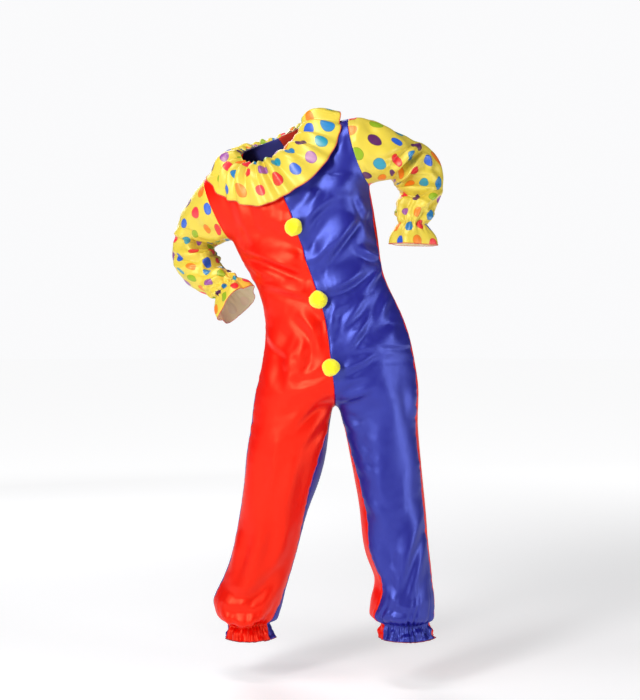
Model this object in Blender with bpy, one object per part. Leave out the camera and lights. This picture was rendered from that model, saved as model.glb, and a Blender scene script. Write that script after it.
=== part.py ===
import math
import bpy
import numpy as np
from mathutils import Vector
from mathutils.bvhtree import BVHTree

# Two-colour clown costume held in the pose it is worn in: four body panels,
# two sleeves with ruffled cuffs, a gathered collar and three pompoms.
# Lengths are in millimetres here; the floor is z = 0 and the front faces -Y.

for old in list(bpy.data.objects):
    bpy.data.objects.remove(old, do_unlink=True)

MM = 0.001
WALL = 1.5            # cloth and its turned edges
SEAM_GAP = 0.36       # between two sewn edges
NECK_CENTRE = (-128.0, 0.0, 1498.0)

PANEL_COLUMNS = 8     # across a panel
RUFFLE_SPLIT = 4      # finer columns in each of them at the ankle
UPPER_ROWS = 12       # armpit to shoulder seam
FRONT_NECK_ROW = 6    # row that meets the neckline in front
BACK_NECK_ROW = 8     # and behind

# Torso sections, from the fork of the legs up to the armpits. fork: how far
# round the section still turns in under the body, yaw: turn of the chest.
TORSO = (
    dict(left_x=-185, left_z=772, right_x=274, right_z=772, seam_x=41, seam_z=766,
         depth=104, fork=90, yaw=0, twist=0, steps=1),
    dict(left_x=-183, left_z=791, right_x=275, right_z=791, seam_x=40, seam_z=778,
         depth=109, fork=57, yaw=0, twist=0, steps=1),
    dict(left_x=-178, left_z=820, right_x=272, right_z=822, seam_x=39, seam_z=802,
         depth=117, fork=24, yaw=2, twist=0, steps=1),
    dict(left_x=-170, left_z=852, right_x=266, right_z=860, seam_x=36, seam_z=842,
         depth=125, fork=3, yaw=4, twist=0, steps=2),
    dict(left_x=-160, left_z=895, right_x=256, right_z=912, seam_x=29, seam_z=896,
         depth=127, fork=0, yaw=5, twist=1, steps=3),
    dict(left_x=-151, left_z=987, right_x=234, right_z=1012, seam_x=17, seam_z=998,
         depth=120, fork=0, yaw=7, twist=2, steps=3),
    dict(left_x=-169, left_z=1078, right_x=166, right_z=1138, seam_x=-19, seam_z=1108,
         depth=112, fork=0, yaw=6, twist=5, steps=2),
    dict(left_x=-204, left_z=1150, right_x=162, right_z=1208, seam_x=-43, seam_z=1174,
         depth=118, fork=0, yaw=8, twist=8, steps=2),
    dict(left_x=-228, left_z=1189, right_x=148, right_z=1275, seam_x=-56, seam_z=1226,
         depth=123, fork=0, yaw=9, twist=11, steps=3),
    dict(left_x=-243, left_z=1224, right_x=133, right_z=1370, seam_x=-82, seam_z=1298,
         depth=124, fork=0, yaw=10, twist=14, steps=1),
)

# Leg sections from hem to fork: the gathered hem, the elastic, the cloth
# that blouses over it, calf, knee and thigh.
RIGHT_LEG = (
    dict(z=116, outer_x=-266, inner_x=-126, y=48, depth=70, side=12, inseam=28, steps=2),
    dict(z=157, outer_x=-256, inner_x=-142, y=50, depth=56, side=12, inseam=28, steps=1),
    dict(z=170, outer_x=-278, inner_x=-122, y=50, depth=72, side=12, inseam=28, steps=1),
    dict(z=190, outer_x=-296, inner_x=-112, y=50, depth=86, side=11, inseam=26, steps=1),
    dict(z=219, outer_x=-306, inner_x=-100, y=48, depth=92, side=10, inseam=18, steps=2),
    dict(z=286, outer_x=-275, inner_x=-83, y=42, depth=89, side=10, inseam=10, steps=2),
    dict(z=354, outer_x=-247, inner_x=-64, y=35, depth=88, side=12, inseam=9, steps=3),
    dict(z=455, outer_x=-224, inner_x=-39, y=25, depth=91, side=13, inseam=24, steps=3),
    dict(z=556, outer_x=-207, inner_x=0, y=15, depth=98, side=14, inseam=42, steps=3),
    dict(z=657, outer_x=-201, inner_x=25, y=5, depth=101, side=14, inseam=36, steps=2),
    dict(z=738, outer_x=-190, inner_x=36, y=0, depth=103, side=14, inseam=16, steps=1),
)
LEFT_LEG = (
    dict(z=136, outer_x=313, inner_x=160, y=-42, depth=76, side=20, inseam=30, steps=2),
    dict(z=177, outer_x=298, inner_x=168, y=-40, depth=64, side=20, inseam=30, steps=1),
    dict(z=188, outer_x=310, inner_x=146, y=-40, depth=78, side=18, inseam=30, steps=1),
    dict(z=205, outer_x=315, inner_x=133, y=-40, depth=88, side=16, inseam=30, steps=1),
    dict(z=238, outer_x=318, inner_x=136, y=-38, depth=90, side=16, inseam=46, steps=2),
    dict(z=296, outer_x=310, inner_x=149, y=-32, depth=84, side=20, inseam=46, steps=2),
    dict(z=364, outer_x=303, inner_x=121, y=-25, depth=88, side=24, inseam=36, steps=3),
    dict(z=461, outer_x=296, inner_x=110, y=-15, depth=92, side=28, inseam=38, steps=3),
    dict(z=559, outer_x=288, inner_x=93, y=-8, depth=98, side=28, inseam=31, steps=3),
    dict(z=657, outer_x=280, inner_x=71, y=-2, depth=101, side=28, inseam=22, steps=2),
    dict(z=740, outer_x=275, inner_x=51, y=0, depth=103, side=27, inseam=12, steps=1),
)

# Armholes: centre, half the line from armpit to shoulder tip, half the depth.
ARMHOLE = {
    "right": dict(centre=(-280, 62, 1311), rise=(-36, 0, 87), front=(-17, -68, 0)),
    "left": dict(centre=(106, -50, 1459), rise=(-27, 0, 89), front=(-17, -68, 0)),
}
ARMHOLE_BACK = 0.85   # its back half against its front half
# How far the side seams lie in front of the body's edge above the legs, degrees.
SIDE_FORWARD = {"right": 0.0, "left": 11.0}
# Neckline: half the line from side to side, and the drops in front and behind.
NECK_HALF = (83.0, -20.0, 32.0)
NECK_FRONT = (-18.0, -70.0, -64.0)
NECK_BACK = (12.0, 64.0, 12.0)
CHEST_CONTROL = (-114.0, -124.0, 1376.0)
BACK_CONTROL = (-44.0, 134.0, 1420.0)

# Sleeve rings: centre, half widths across and in depth, and the direction of
# the outer edge in the front view (degrees from +X).
RIGHT_SLEEVE = (
    dict(x=-280, y=62, z=1311, wide=95, deep=70, lean=113, steps=2),
    dict(x=-314, y=92, z=1284, wide=80, deep=72, lean=122, steps=2),
    dict(x=-338, y=128, z=1257, wide=68, deep=70, lean=137, steps=2),
    dict(x=-354, y=160, z=1230, wide=59, deep=68, lean=160, steps=2),
    dict(x=-361, y=174, z=1204, wide=61, deep=66, lean=177, steps=2),
    dict(x=-354, y=162, z=1176, wide=66, deep=64, lean=189, steps=2),
    dict(x=-340, y=136, z=1150, wide=63, deep=62, lean=196, steps=2),
    dict(x=-316, y=104, z=1124, wide=57, deep=58, lean=205, steps=2),
    dict(x=-288, y=72, z=1108, wide=52, deep=54, lean=217, steps=1),
    dict(x=-272, y=56, z=1100, wide=46, deep=47, lean=222, steps=1),
    dict(x=-259, y=44, z=1091, wide=40, deep=40, lean=225, steps=1),
)
LEFT_SLEEVE = (
    dict(x=106, y=-50, z=1459, wide=93, deep=70, lean=107, steps=2),
    dict(x=145, y=-48, z=1465, wide=88, deep=72, lean=101, steps=2),
    dict(x=184, y=-36, z=1457, wide=71, deep=72, lean=92, steps=2),
    dict(x=222, y=-16, z=1440, wide=62, deep=70, lean=68, steps=2),
    dict(x=252, y=2, z=1424, wide=72, deep=70, lean=46, steps=2),
    dict(x=270, y=8, z=1400, wide=72, deep=68, lean=24, steps=2),
    dict(x=277, y=4, z=1372, wide=63, deep=64, lean=10, steps=2),
    dict(x=274, y=-8, z=1345, wide=57, deep=60, lean=-4, steps=2),
    dict(x=263, y=-22, z=1317, wide=56, deep=56, lean=-4, steps=1),
    dict(x=256, y=-36, z=1290, wide=50, deep=50, lean=-6, steps=1),
    dict(x=251, y=-46, z=1264, wide=36, deep=38, lean=-3, steps=1),
)
CUFF = {
    "right": dict(tip=(-229, 18, 1047), wide=64, deep=60, lean=227),
    "left": dict(tip=(253, -47, 1209), wide=63, deep=60, lean=-2),
}
CUFF_ROWS = 3
CUFF_WAVES = 12       # gathers at the elastic
CUFF_WAVE_HEIGHT = 4.0
CUFF_BENDS = 5        # slow waves of the hem
CUFF_BEND_HEIGHT = 4.0

# Collar hem: centre, half the line from end to end, front and back reach.
COLLAR_CENTRE = (-126.0, 6.0, 1487.0)
COLLAR_HALF = (180.0, -54.0, 80.0)
COLLAR_FRONT = (36.0, -146.0, -152.0)
COLLAR_BACK = (15.0, 150.0, -52.0)
COLLAR_GATHERS = 28
# Lowest corner of the hem: place round it (degrees), half width, extra length.
COLLAR_TIP = (112.0, 16.0, 11.0)
COLLAR_COLUMNS = 4 * COLLAR_GATHERS
COLLAR_ROWS = 6
COLLAR_ARCH = 26.0
COLLAR_WAVE = 9.0
COLLAR_CLEARANCE = 4.0

ANKLE_WAVES = 8       # on each panel
ANKLE_WAVE_HEIGHT = 5.0
POMPOM_RADIUS = 25.0
POMPOM_LEVELS = {"pompom_upper": 1254, "pompom_middle": 1061, "pompom_lower": 880}

# Largest folds in the front view: ridge from a point, by way of one, to one.
FRONT_FOLDS = (
    dict(x0=38, z0=1342, x1=-34, z1=1273, x2=-50, z2=1210, width=15, height=8),
    dict(x0=112, z0=1290, x1=72, z1=1214, x2=-16, z2=1141, width=15, height=8),
    dict(x0=66, z0=1224, x1=28, z1=1150, x2=4, z2=1095, width=11, height=5),
    dict(x0=128, z0=1141, x1=90, z1=1112, x2=40, z2=1089, width=13, height=6),
    dict(x0=148, z0=1010, x1=178, z1=970, x2=176, z2=915, width=36, height=8),
    dict(x0=150, z0=922, x1=92, z1=905, x2=58, z2=822, width=15, height=7),
    dict(x0=-205, z0=1192, x1=-116, z1=1164, x2=-44, z2=1128, width=16, height=10),
    dict(x0=-150, z0=1104, x1=-84, z1=1084, x2=-26, z2=1068, width=14, height=7),
    dict(x0=-60, z0=1028, x1=-26, z1=992, x2=-4, z2=962, width=13, height=6),
    dict(x0=-50, z0=948, x1=-76, z1=905, x2=-88, z2=866, width=15, height=6),
    dict(x0=30, z0=820, x1=-10, z1=812, x2=-60, z2=792, width=16, height=4),
    dict(x0=-10, z0=742, x1=-50, z1=724, x2=-96, z2=690, width=18, height=5),
    dict(x0=-176, z0=700, x1=-158, z1=600, x2=-176, z2=500, width=20, height=6),
    dict(x0=-60, z0=640, x1=-96, z1=520, x2=-128, z2=390, width=22, height=6),
    dict(x0=120, z0=700, x1=150, z1=620, x2=196, z2=545, width=18, height=6),
    dict(x0=132, z0=470, x1=180, z1=480, x2=248, z2=514, width=15, height=7),
    dict(x0=276, z0=522, x1=244, z1=374, x2=226, z2=232, width=17, height=8),
    dict(x0=-286, z0=262, x1=-204, z1=205, x2=-106, z2=292, width=14, height=9),
    dict(x0=-250, z0=330, x1=-190, z1=282, x2=-110, z2=330, width=16, height=5),
    dict(x0=150, z0=300, x1=200, z1=268, x2=290, z2=250, width=14, height=6),
)
BACK_FOLDS = (
    dict(x0=-150, z0=1330, x1=-100, z1=1262, x2=-60, z2=1180, width=16, height=8),
    dict(x0=60, z0=1400, x1=40, z1=1300, x2=0, z2=1210, width=16, height=7),
    dict(x0=-190, z0=1150, x1=-110, z1=1118, x2=-30, z2=1102, width=16, height=8),
    dict(x0=130, z0=1160, x1=80, z1=1110, x2=10, z2=1080, width=15, height=7),
    dict(x0=-110, z0=1010, x1=-60, z1=930, x2=-20, z2=850, width=20, height=7),
    dict(x0=190, z0=980, x1=140, z1=900, x2=90, z2=830, width=20, height=7),
    dict(x0=-150, z0=730, x1=-90, z1=700, x2=-20, z2=720, width=22, height=5),
    dict(x0=230, z0=740, x1=170, z1=700, x2=100, z2=715, width=22, height=5),
    dict(x0=-150, z0=640, x1=-130, z1=540, x2=-160, z2=430, width=22, height=6),
    dict(x0=210, z0=640, x1=190, z1=520, x2=220, z2=400, width=22, height=6),
    dict(x0=-270, z0=280, x1=-200, z1=225, x2=-120, z2=275, width=15, height=8),
    dict(x0=150, z0=290, x1=225, z1=240, x2=300, z2=285, width=15, height=8),
)
# Folds round the sleeves: place along (0 armhole, 1 elastic), angle from the
# outer edge towards the front, slant, half length round, width, height.
SLEEVE_FOLDS = (
    dict(at=0.16, angle=70, slant=0.05, reach=60, width=0.030, height=6),
    dict(at=0.34, angle=110, slant=-0.06, reach=70, width=0.028, height=7),
    dict(at=0.46, angle=150, slant=0.03, reach=60, width=0.024, height=8),
    dict(at=0.55, angle=200, slant=-0.04, reach=80, width=0.024, height=7),
    dict(at=0.64, angle=60, slant=0.05, reach=70, width=0.026, height=6),
    dict(at=0.76, angle=130, slant=-0.04, reach=70, width=0.024, height=7),
    dict(at=0.87, angle=40, slant=0.02, reach=90, width=0.022, height=6),
    dict(at=0.90, angle=220, slant=-0.02, reach=80, width=0.022, height=6),
)


def vec(values):
    return np.array(values, dtype=float)


def smooth(value):
    value = np.clip(value, 0.0, 1.0)
    return value * value * (3.0 - 2.0 * value)


def curve_through(knots, values, at):
    # Monotone cubic through the values of a table column.
    knots, values, at = vec(knots), vec(values), vec(at)
    gap = np.diff(knots)
    slope = np.diff(values) / gap
    tangent = np.zeros(len(knots))
    tangent[0], tangent[-1] = slope[0], slope[-1]
    for i in range(1, len(knots) - 1):
        if slope[i - 1] * slope[i] > 0:
            w1 = 2 * gap[i] + gap[i - 1]
            w2 = gap[i] + 2 * gap[i - 1]
            tangent[i] = (w1 + w2) / (w1 / slope[i - 1] + w2 / slope[i])
    k = np.clip(np.searchsorted(knots, at, side="right") - 1, 0, len(gap) - 1)
    s = (at - knots[k]) / gap[k]
    return ((2 * s**3 - 3 * s**2 + 1) * values[k] + (s**3 - 2 * s**2 + s) * gap[k] * tangent[k]
            + (3 * s**2 - 2 * s**3) * values[k + 1] + (s**3 - s**2) * gap[k] * tangent[k + 1])


def soft_curve(knots, values, at):
    # Catmull-Rom through the values of a table column.
    knots, values, at = vec(knots), vec(values), vec(at)
    tangent = np.gradient(values, knots)
    gap = np.diff(knots)
    k = np.clip(np.searchsorted(knots, at, side="right") - 1, 0, len(gap) - 1)
    s = (at - knots[k]) / gap[k]
    return ((2 * s**3 - 3 * s**2 + 1) * values[k] + (s**3 - 2 * s**2 + s) * gap[k] * tangent[k]
            + (3 * s**2 - 2 * s**3) * values[k + 1] + (s**3 - s**2) * gap[k] * tangent[k + 1])


def even_row(points, count):
    # The same row with its points at even distances.
    run = np.concatenate([[0.0], np.cumsum(np.linalg.norm(np.diff(points, axis=0), axis=1))])
    want = np.linspace(0.0, run[-1], count + 1)
    return np.stack([np.interp(want, run, points[:, k]) for k in range(3)], axis=1)


def stations(steps):
    # Row places in table units: whole numbers are the table's own rows.
    places = [0.0]
    for row, count in enumerate(steps):
        places += [row + (i + 1) / count for i in range(count)]
    return vec(places)


def half_rows(side):
    # All sections of one half of the body below the armpit, hem to armpit.
    legs = RIGHT_LEG if side == "right" else LEFT_LEG
    sign = -1.0 if side == "right" else 1.0
    outer, torso_z = ("left_x", "left_z") if side == "right" else ("right_x", "right_z")
    turned, forward = legs[-1]["side"], SIDE_FORWARD[side]
    keys = []
    for row in legs:
        centre = 0.5 * (row["outer_x"] + row["inner_x"])
        half = 0.5 * abs(row["outer_x"] - row["inner_x"])
        keys.append(dict(cx=centre, half=half, y=row["y"], depth=row["depth"], outer_z=row["z"],
                         seam_z=row["z"], seam_x=row["inner_x"], side=90 - row["side"],
                         front=90 - row["inseam"], back=90 - row["inseam"], twist=0.0))
    for row in TORSO:
        front = row["fork"] + sign * row["yaw"]
        back = row["fork"] - sign * row["yaw"]
        half = abs(row[outer] - row["seam_x"]) / (1.0 + math.sin(math.radians(front)))
        keys.append(dict(cx=row[outer] - sign * half, half=half, y=0.0, depth=row["depth"],
                         outer_z=row[torso_z], seam_z=row["seam_z"], seam_x=row["seam_x"],
                         side=90 - turned * row["fork"] / 90.0 - forward * (1 - row["fork"] / 90.0),
                         front=front, back=180 - back, twist=row["twist"]))
    places = stations([row["steps"] for row in legs] + [row["steps"] for row in TORSO[:-1]])
    knots = np.arange(len(keys), dtype=float)
    return {name: curve_through(knots, [key[name] for key in keys], places) for name in keys[0]}, sign


def section(rows, sign, i, start, end, count=64):
    # Arc of section i between two angles measured from straight ahead,
    # positive towards the inner side of this half.
    angle = np.radians(np.linspace(start, end, count))
    x = rows["cx"][i] - sign * rows["half"][i] * np.sin(angle)
    y = rows["y"][i] - rows["depth"][i] * np.cos(angle)
    run = (x - rows["seam_x"][i]) / (rows["cx"][i] + sign * rows["half"][i] - rows["seam_x"][i])
    z = rows["seam_z"][i] + (rows["outer_z"][i] - rows["seam_z"][i]) * run
    y = y - (x - rows["seam_x"][i]) * math.tan(math.radians(rows["twist"][i]))
    return np.stack([x, y, z], axis=1)


def armhole_point(side, t, face):
    hole = ARMHOLE[side]
    turn = math.pi * t
    return (vec(hole["centre"]) - vec(hole["rise"]) * math.cos(turn)
            + (1.0 if face > 0 else -ARMHOLE_BACK) * vec(hole["front"]) * math.sin(turn))


def neck_point(side, face, q):
    # q = 0 in the middle, 1 at the shoulder seam.
    sign = -1.0 if side == "right" else 1.0
    turn = 0.5 * math.pi * q
    reach = vec(NECK_FRONT) if face > 0 else vec(NECK_BACK)
    return vec(NECK_CENTRE) + sign * vec(NECK_HALF) * math.sin(turn) + reach * math.cos(turn)


def bend(a, b, c, q):
    return (1 - q) ** 2 * a + 2 * q * (1 - q) * b + q * q * c


def bezier_row(a, b, toward_a, toward_b, count=48):
    share = np.linalg.pinv(np.stack([toward_a, toward_b], axis=1), rcond=0.05) @ (b - a)
    first = a + 0.552 * share[0] * toward_a
    last = b - 0.552 * share[1] * toward_b
    s = np.linspace(0.0, 1.0, count)[:, None]
    return (1 - s) ** 3 * a + 3 * s * (1 - s) ** 2 * first + 3 * s * s * (1 - s) * last + s**3 * b


def unit(v):
    return v / np.linalg.norm(v)


def panel_grid(side, face):
    # Rows from hem to shoulder seam, columns from side seam to centre seam.
    rows, sign = half_rows(side)
    count = len(rows["cx"])
    grid = []
    for i in range(count):
        if face > 0:
            arc = section(rows, sign, i, -rows["side"][i], rows["front"][i])
        else:
            arc = section(rows, sign, i, -rows["side"][i], -360 + rows["back"][i])
        grid.append(even_row(arc, PANEL_COLUMNS))
    grid = np.array(grid)
    pit = armhole_point(side, 0.0, face)
    shift = pit - grid[-1, 0]
    fade = smooth((np.arange(count) - (count - 8)) / 7.0)
    across = 1.0 - np.linspace(0.0, 1.0, PANEL_COLUMNS + 1)
    grid += fade[:, None, None] * across[None, :, None] ** 2 * shift
    seam = grid[-1, -1]
    neck_row = FRONT_NECK_ROW if face > 0 else BACK_NECK_ROW
    control = vec(CHEST_CONTROL) if face > 0 else vec(BACK_CONTROL)
    sideways = sign * unit(vec(NECK_HALF))
    upper = []
    for i in range(1, UPPER_ROWS + 1):
        t = i / UPPER_ROWS
        a = armhole_point(side, t, face)
        if i <= neck_row:
            b = bend(seam, control, neck_point(side, face, 0.0), i / neck_row)
        else:
            b = neck_point(side, face, (i - neck_row) / (UPPER_ROWS - neck_row))
        along = unit(b - a)
        lead = smooth(t / 0.75)
        toward_a = unit((1 - lead) * vec((0.0, -face, 0.0)) + lead * along)
        level = smooth((t - 0.4) / 0.6)
        toward_b = unit((1 - level) * -sideways + level * along)
        upper.append(even_row(bezier_row(a, b, toward_a, toward_b), PANEL_COLUMNS))
    return np.concatenate([grid, np.array(upper)], axis=0), count


def join_edges(grids):
    # Sewn edges meet exactly: each takes the mean line, eased over the row.
    torso = len(half_rows("right")[0]["cx"]) - sum(row["steps"] for row in TORSO[:-1]) - 1
    last = {1: FRONT_NECK_ROW, -1: BACK_NECK_ROW}
    across = smooth(np.linspace(0.0, 1.0, PANEL_COLUMNS + 1))
    lower = len(half_rows("right")[0]["cx"]) - 1
    for face in (1, -1):
        top = lower + last[face]
        a, b = grids["right", face], grids["left", face]
        middle = 0.5 * (a[torso:top + 1, -1] + b[torso:top + 1, -1])
        for grid in (a, b):
            shift = middle - grid[torso:top + 1, -1]
            grid[torso:top + 1] += across[None, :, None] * shift[:, None, :]
    for side in ("right", "left"):
        a, b = grids[side, 1], grids[side, -1]
        for end, weight in ((0, across[::-1]), (-1, across)):
            stop = lower + 1 if end == 0 else torso + 1
            middle = 0.5 * (a[:stop, end] + b[:stop, end])
            for grid in (a, b):
                shift = middle - grid[:stop, end]
                grid[:stop] += weight[None, :, None] * shift[:, None, :]
        top = 0.5 * (a[-1] + b[-1])
        a[-1] = top
        b[-1] = top


def fold_height(x, z, folds):
    # Sum of soft ridges, each along a bent line that fades at both ends.
    total = np.zeros_like(x)
    for fold in folds:
        q = np.linspace(0.0, 1.0, 25)
        a, b, c = (vec((fold["x%d" % k], fold["z%d" % k])) for k in range(3))
        line = a + np.outer(q * (1 - q) * 4, b - 0.5 * (a + c)) + np.outer(q, c - a)
        gap = np.sqrt((x[..., None] - line[:, 0]) ** 2 + (z[..., None] - line[:, 1]) ** 2)
        near = np.argmin(gap, axis=-1)
        taper = np.sin(np.pi * (0.08 + 0.84 * q[near])) ** 1.2
        size = np.min(gap, axis=-1) / fold["width"]
        total += fold["height"] * taper * (np.exp(-size**2) - 0.35 * np.exp(-(size - 2.1) ** 2))
    return total


def surface_normals(points, faces):
    normal = np.zeros_like(points)
    for face in faces:
        corner = points[list(face)]
        around = np.cross(corner, np.roll(corner, -1, axis=0)).sum(axis=0)
        normal[list(face)] += around
    size = np.linalg.norm(normal, axis=1)[:, None]
    return normal / np.where(size == 0, 1.0, size)


def grid_faces(rows, columns, closed, first=0):
    faces = []
    wide = columns if closed else columns + 1
    for i in range(rows):
        for j in range(columns):
            k = (j + 1) % columns if closed else j + 1
            a, b = first + i * wide, first + (i + 1) * wide
            faces.append((a + j, a + k, b + k, b + j))
    return faces


def widen_faces(coarse, fine, columns, split, closed):
    # Strip between a row of columns and a row of split times as many;
    # the fine row lies before the coarse one.
    faces = []
    for j in range(columns):
        a = coarse + j
        b = coarse + ((j + 1) % columns if closed else j + 1)
        total = columns * split
        f = [fine + ((j * split + k) % total if closed else j * split + k) for k in range(split + 1)]
        half = split // 2
        for k in range(half):
            faces.append((f[k], f[k + 1], a))
        faces.append((f[half], b, a))
        for k in range(half, split):
            faces.append((f[k], f[k + 1], b))
    return faces


def smooth_row(row, split, closed):
    # Finer row on a curve through the coarse one.
    wide = len(row)
    if closed:
        row = np.concatenate([row[-2:], row, row[:3]])
        knots = np.arange(-2, wide + 3)
        at = np.arange(wide * split) / split
    else:
        knots = np.arange(wide)
        at = np.arange((wide - 1) * split + 1) / split
    return np.stack([soft_curve(knots, row[:, k], at) for k in range(3)], axis=1)


pieces = {}


def halve_quads(points, faces):
    # Each quad cut along its shorter diagonal, the same on both sides of the wall.
    cut = []
    for face in faces:
        if len(face) == 3:
            cut.append(face)
            continue
        a, b, c, d = face
        if np.linalg.norm(points[a] - points[c]) <= np.linalg.norm(points[b] - points[d]):
            cut += [(a, b, c), (a, c, d)]
        else:
            cut += [(a, b, d), (b, c, d)]
    return cut


def add_piece(name, points, faces):
    points = np.array(points)
    pieces[name] = dict(points=points, faces=halve_quads(points, faces))


grids = {}
for side in ("right", "left"):
    for face in (1, -1):
        grids[side, face], lower_rows = panel_grid(side, face)
join_edges(grids)

NAMES = {("right", 1): "front_red", ("left", 1): "front_blue",
         ("right", -1): "back_blue", ("left", -1): "back_red"}
ruffle_rows = RIGHT_LEG[0]["steps"]


def build_panel(side, face):
    grid = grids[side, face]
    flip = (side == "right") != (face > 0)
    fine, coarse = [], grid[ruffle_rows + 1:]
    for i in range(ruffle_rows + 1):
        row = smooth_row(grid[i], RUFFLE_SPLIT, False)
        columns = len(row) - 1
        out = row - (grid[i, 0] + grid[i, -1]) / 2.0
        out[:, 2] = 0.0
        out /= np.linalg.norm(out, axis=1)[:, None] + 1e-9
        wave = np.cos(2.0 * math.pi * ANKLE_WAVES * np.arange(columns + 1) / columns)
        if i == ruffle_rows:
            size = 0.25
        else:
            size = 1.0 - 0.45 * i / ruffle_rows
        row = row + out * (wave * size * ANKLE_WAVE_HEIGHT)[:, None]
        fine.append(row)
    columns = PANEL_COLUMNS * RUFFLE_SPLIT
    points = np.concatenate([np.concatenate(fine), coarse.reshape(-1, 3)])
    faces = grid_faces(ruffle_rows, columns, False)
    start = (ruffle_rows + 1) * (columns + 1)
    faces += widen_faces(start, ruffle_rows * (columns + 1), PANEL_COLUMNS, RUFFLE_SPLIT, False)
    faces += grid_faces(len(coarse) - 1, PANEL_COLUMNS, False, start)
    if flip:
        faces = [tuple(reversed(face_)) for face_ in faces]
    add_piece(NAMES[side, face], points, faces)


for side in ("right", "left"):
    for face in (1, -1):
        build_panel(side, face)


SLEEVE_SPLIT = 2
RING_LEVEL = 0.12     # how far the rings turn with the depth of the bend
SLEEVE_COLUMNS = 2 * UPPER_ROWS


def armhole_ring(side):
    front = grids[side, 1][lower_rows - 1:, 0][::-1]
    back = grids[side, -1][lower_rows - 1:, 0]
    return np.concatenate([front, back[1:-1]])


def ring_at(centre, tangent, wide, deep, lean, count):
    across = vec((math.cos(math.radians(lean)), 0.0, math.sin(math.radians(lean))))
    forward = np.cross(tangent, across)
    forward = unit(forward if forward[1] < 0 else -forward)
    turn = 2.0 * math.pi * np.arange(count) / count
    return (centre + np.outer(np.cos(turn) * wide, across)
            + np.outer(np.sin(turn) * deep, forward))


def build_sleeve(side, table, name):
    places = stations([row["steps"] for row in table[:-1]])
    knots = np.arange(len(table), dtype=float)
    track = {key: soft_curve(knots, [row[key] for row in table], places)
             for key in ("x", "y", "z", "wide", "deep", "lean")}
    centres = np.stack([track["x"], track["y"], track["z"]], axis=1)
    tangents = np.gradient(centres, axis=0) * vec((1.0, RING_LEVEL, 1.0))
    rings = [ring_at(centres[i], unit(tangents[i]), track["wide"][i], track["deep"][i],
                     track["lean"][i], SLEEVE_COLUMNS) for i in range(len(places))]
    edge = armhole_ring(side)
    shift = edge - rings[0]
    run = np.concatenate([[0.0], np.cumsum(np.linalg.norm(np.diff(centres, axis=0), axis=1))])
    for i, ring in enumerate(rings):
        rings[i] = ring + shift * (1.0 - smooth(run[i] / 70.0))
    rings = np.array(rings)
    rings = crease_sleeve(rings, places / places[-1])
    cuff = CUFF[side]
    tip = vec(cuff["tip"])
    elastic = smooth_row(rings[-1], SLEEVE_SPLIT, True)
    axis = unit(tip - centres[-1])
    hem = ring_at(tip, axis, cuff["wide"], cuff["deep"], cuff["lean"], SLEEVE_COLUMNS * SLEEVE_SPLIT)
    turn = 2.0 * math.pi * np.arange(len(hem)) / len(hem)
    gather, slow = np.cos(CUFF_WAVES * turn), np.cos(CUFF_BENDS * turn + 0.6)
    fine = []
    for i in range(CUFF_ROWS, -1, -1):
        s = i / CUFF_ROWS
        spread = math.sin(0.5 * math.pi * s) ** 0.8
        centre = centres[-1] + (tip - centres[-1]) * s
        row = centre + (elastic - centres[-1]) * (1 - spread) + (hem - tip) * spread
        out = row - centre
        out /= np.linalg.norm(out, axis=1)[:, None]
        wave = gather * CUFF_WAVE_HEIGHT * math.cos(1.2 * s) + slow * CUFF_BEND_HEIGHT * s
        fine.append(row + out * wave[:, None])
    points = np.concatenate([np.concatenate(fine), rings[:-1][::-1].reshape(-1, 3)])
    columns = SLEEVE_COLUMNS * SLEEVE_SPLIT
    faces = grid_faces(CUFF_ROWS, columns, True)
    start = (CUFF_ROWS + 1) * columns
    faces += widen_faces(start, CUFF_ROWS * columns, SLEEVE_COLUMNS, SLEEVE_SPLIT, True)
    faces += grid_faces(len(rings) - 2, SLEEVE_COLUMNS, True, start)
    if side == "left":
        faces = [tuple(reversed(face)) for face in faces]
    add_piece(name, points, faces)


def crease_sleeve(rings, along):
    # Bunching folds pushed out from the line of the ring centres.
    middle = rings.mean(axis=1, keepdims=True)
    out = rings - middle
    out /= np.linalg.norm(out, axis=2)[:, :, None]
    angle = 360.0 * np.arange(rings.shape[1]) / rings.shape[1]
    height = np.zeros(rings.shape[:2])
    for fold in SLEEVE_FOLDS:
        turn = (angle - fold["angle"] + 180.0) % 360.0 - 180.0
        place = fold["at"] + fold["slant"] * turn / 90.0
        taper = np.clip(1.0 - (turn / fold["reach"]) ** 2, 0.0, 1.0)
        size = (along[:, None] - place) / fold["width"]
        height += fold["height"] * taper * (np.exp(-size**2) - 0.4 * np.exp(-(size - 1.8) ** 2))
    edge = smooth(along / 0.1) * smooth((1.0 - along) / 0.05)
    apart = np.linalg.norm(np.gradient(rings, axis=0), axis=2)
    height *= np.clip(apart / 9.0 - 0.2, 0.0, 1.0)
    return rings + out * (height * edge[:, None])[:, :, None]


build_sleeve("right", RIGHT_SLEEVE, "sleeve_right")
build_sleeve("left", LEFT_SLEEVE, "sleeve_left")


def welded_normals(parts):
    # One normal for every place, whichever pieces meet there.
    total = {}
    keys = {}
    for name in parts:
        points, faces = pieces[name]["points"], pieces[name]["faces"]
        key = [tuple(row) for row in np.round(points * 50).astype(int)]
        keys[name] = key
        for face in faces:
            corner = points[list(face)]
            around = np.cross(corner, np.roll(corner, -1, axis=0)).sum(axis=0)
            for index in face:
                total[key[index]] = total.get(key[index], 0.0) + around
    return {name: np.array([unit(total[k]) for k in keys[name]]) for name in parts}


def boundary_edges(faces):
    seen = {}
    for face in faces:
        for a, b in zip(face, face[1:] + face[:1]):
            seen[a, b] = True
    return [(a, b) for a, b in seen if (b, a) not in seen]


CLOTH = ["front_red", "front_blue", "back_blue", "back_red", "sleeve_right", "sleeve_left"]
normals = welded_normals(CLOTH)

SEAM_LINE = [grids["right", 1][i, -1] for i in range(lower_rows + FRONT_NECK_ROW)]


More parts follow.
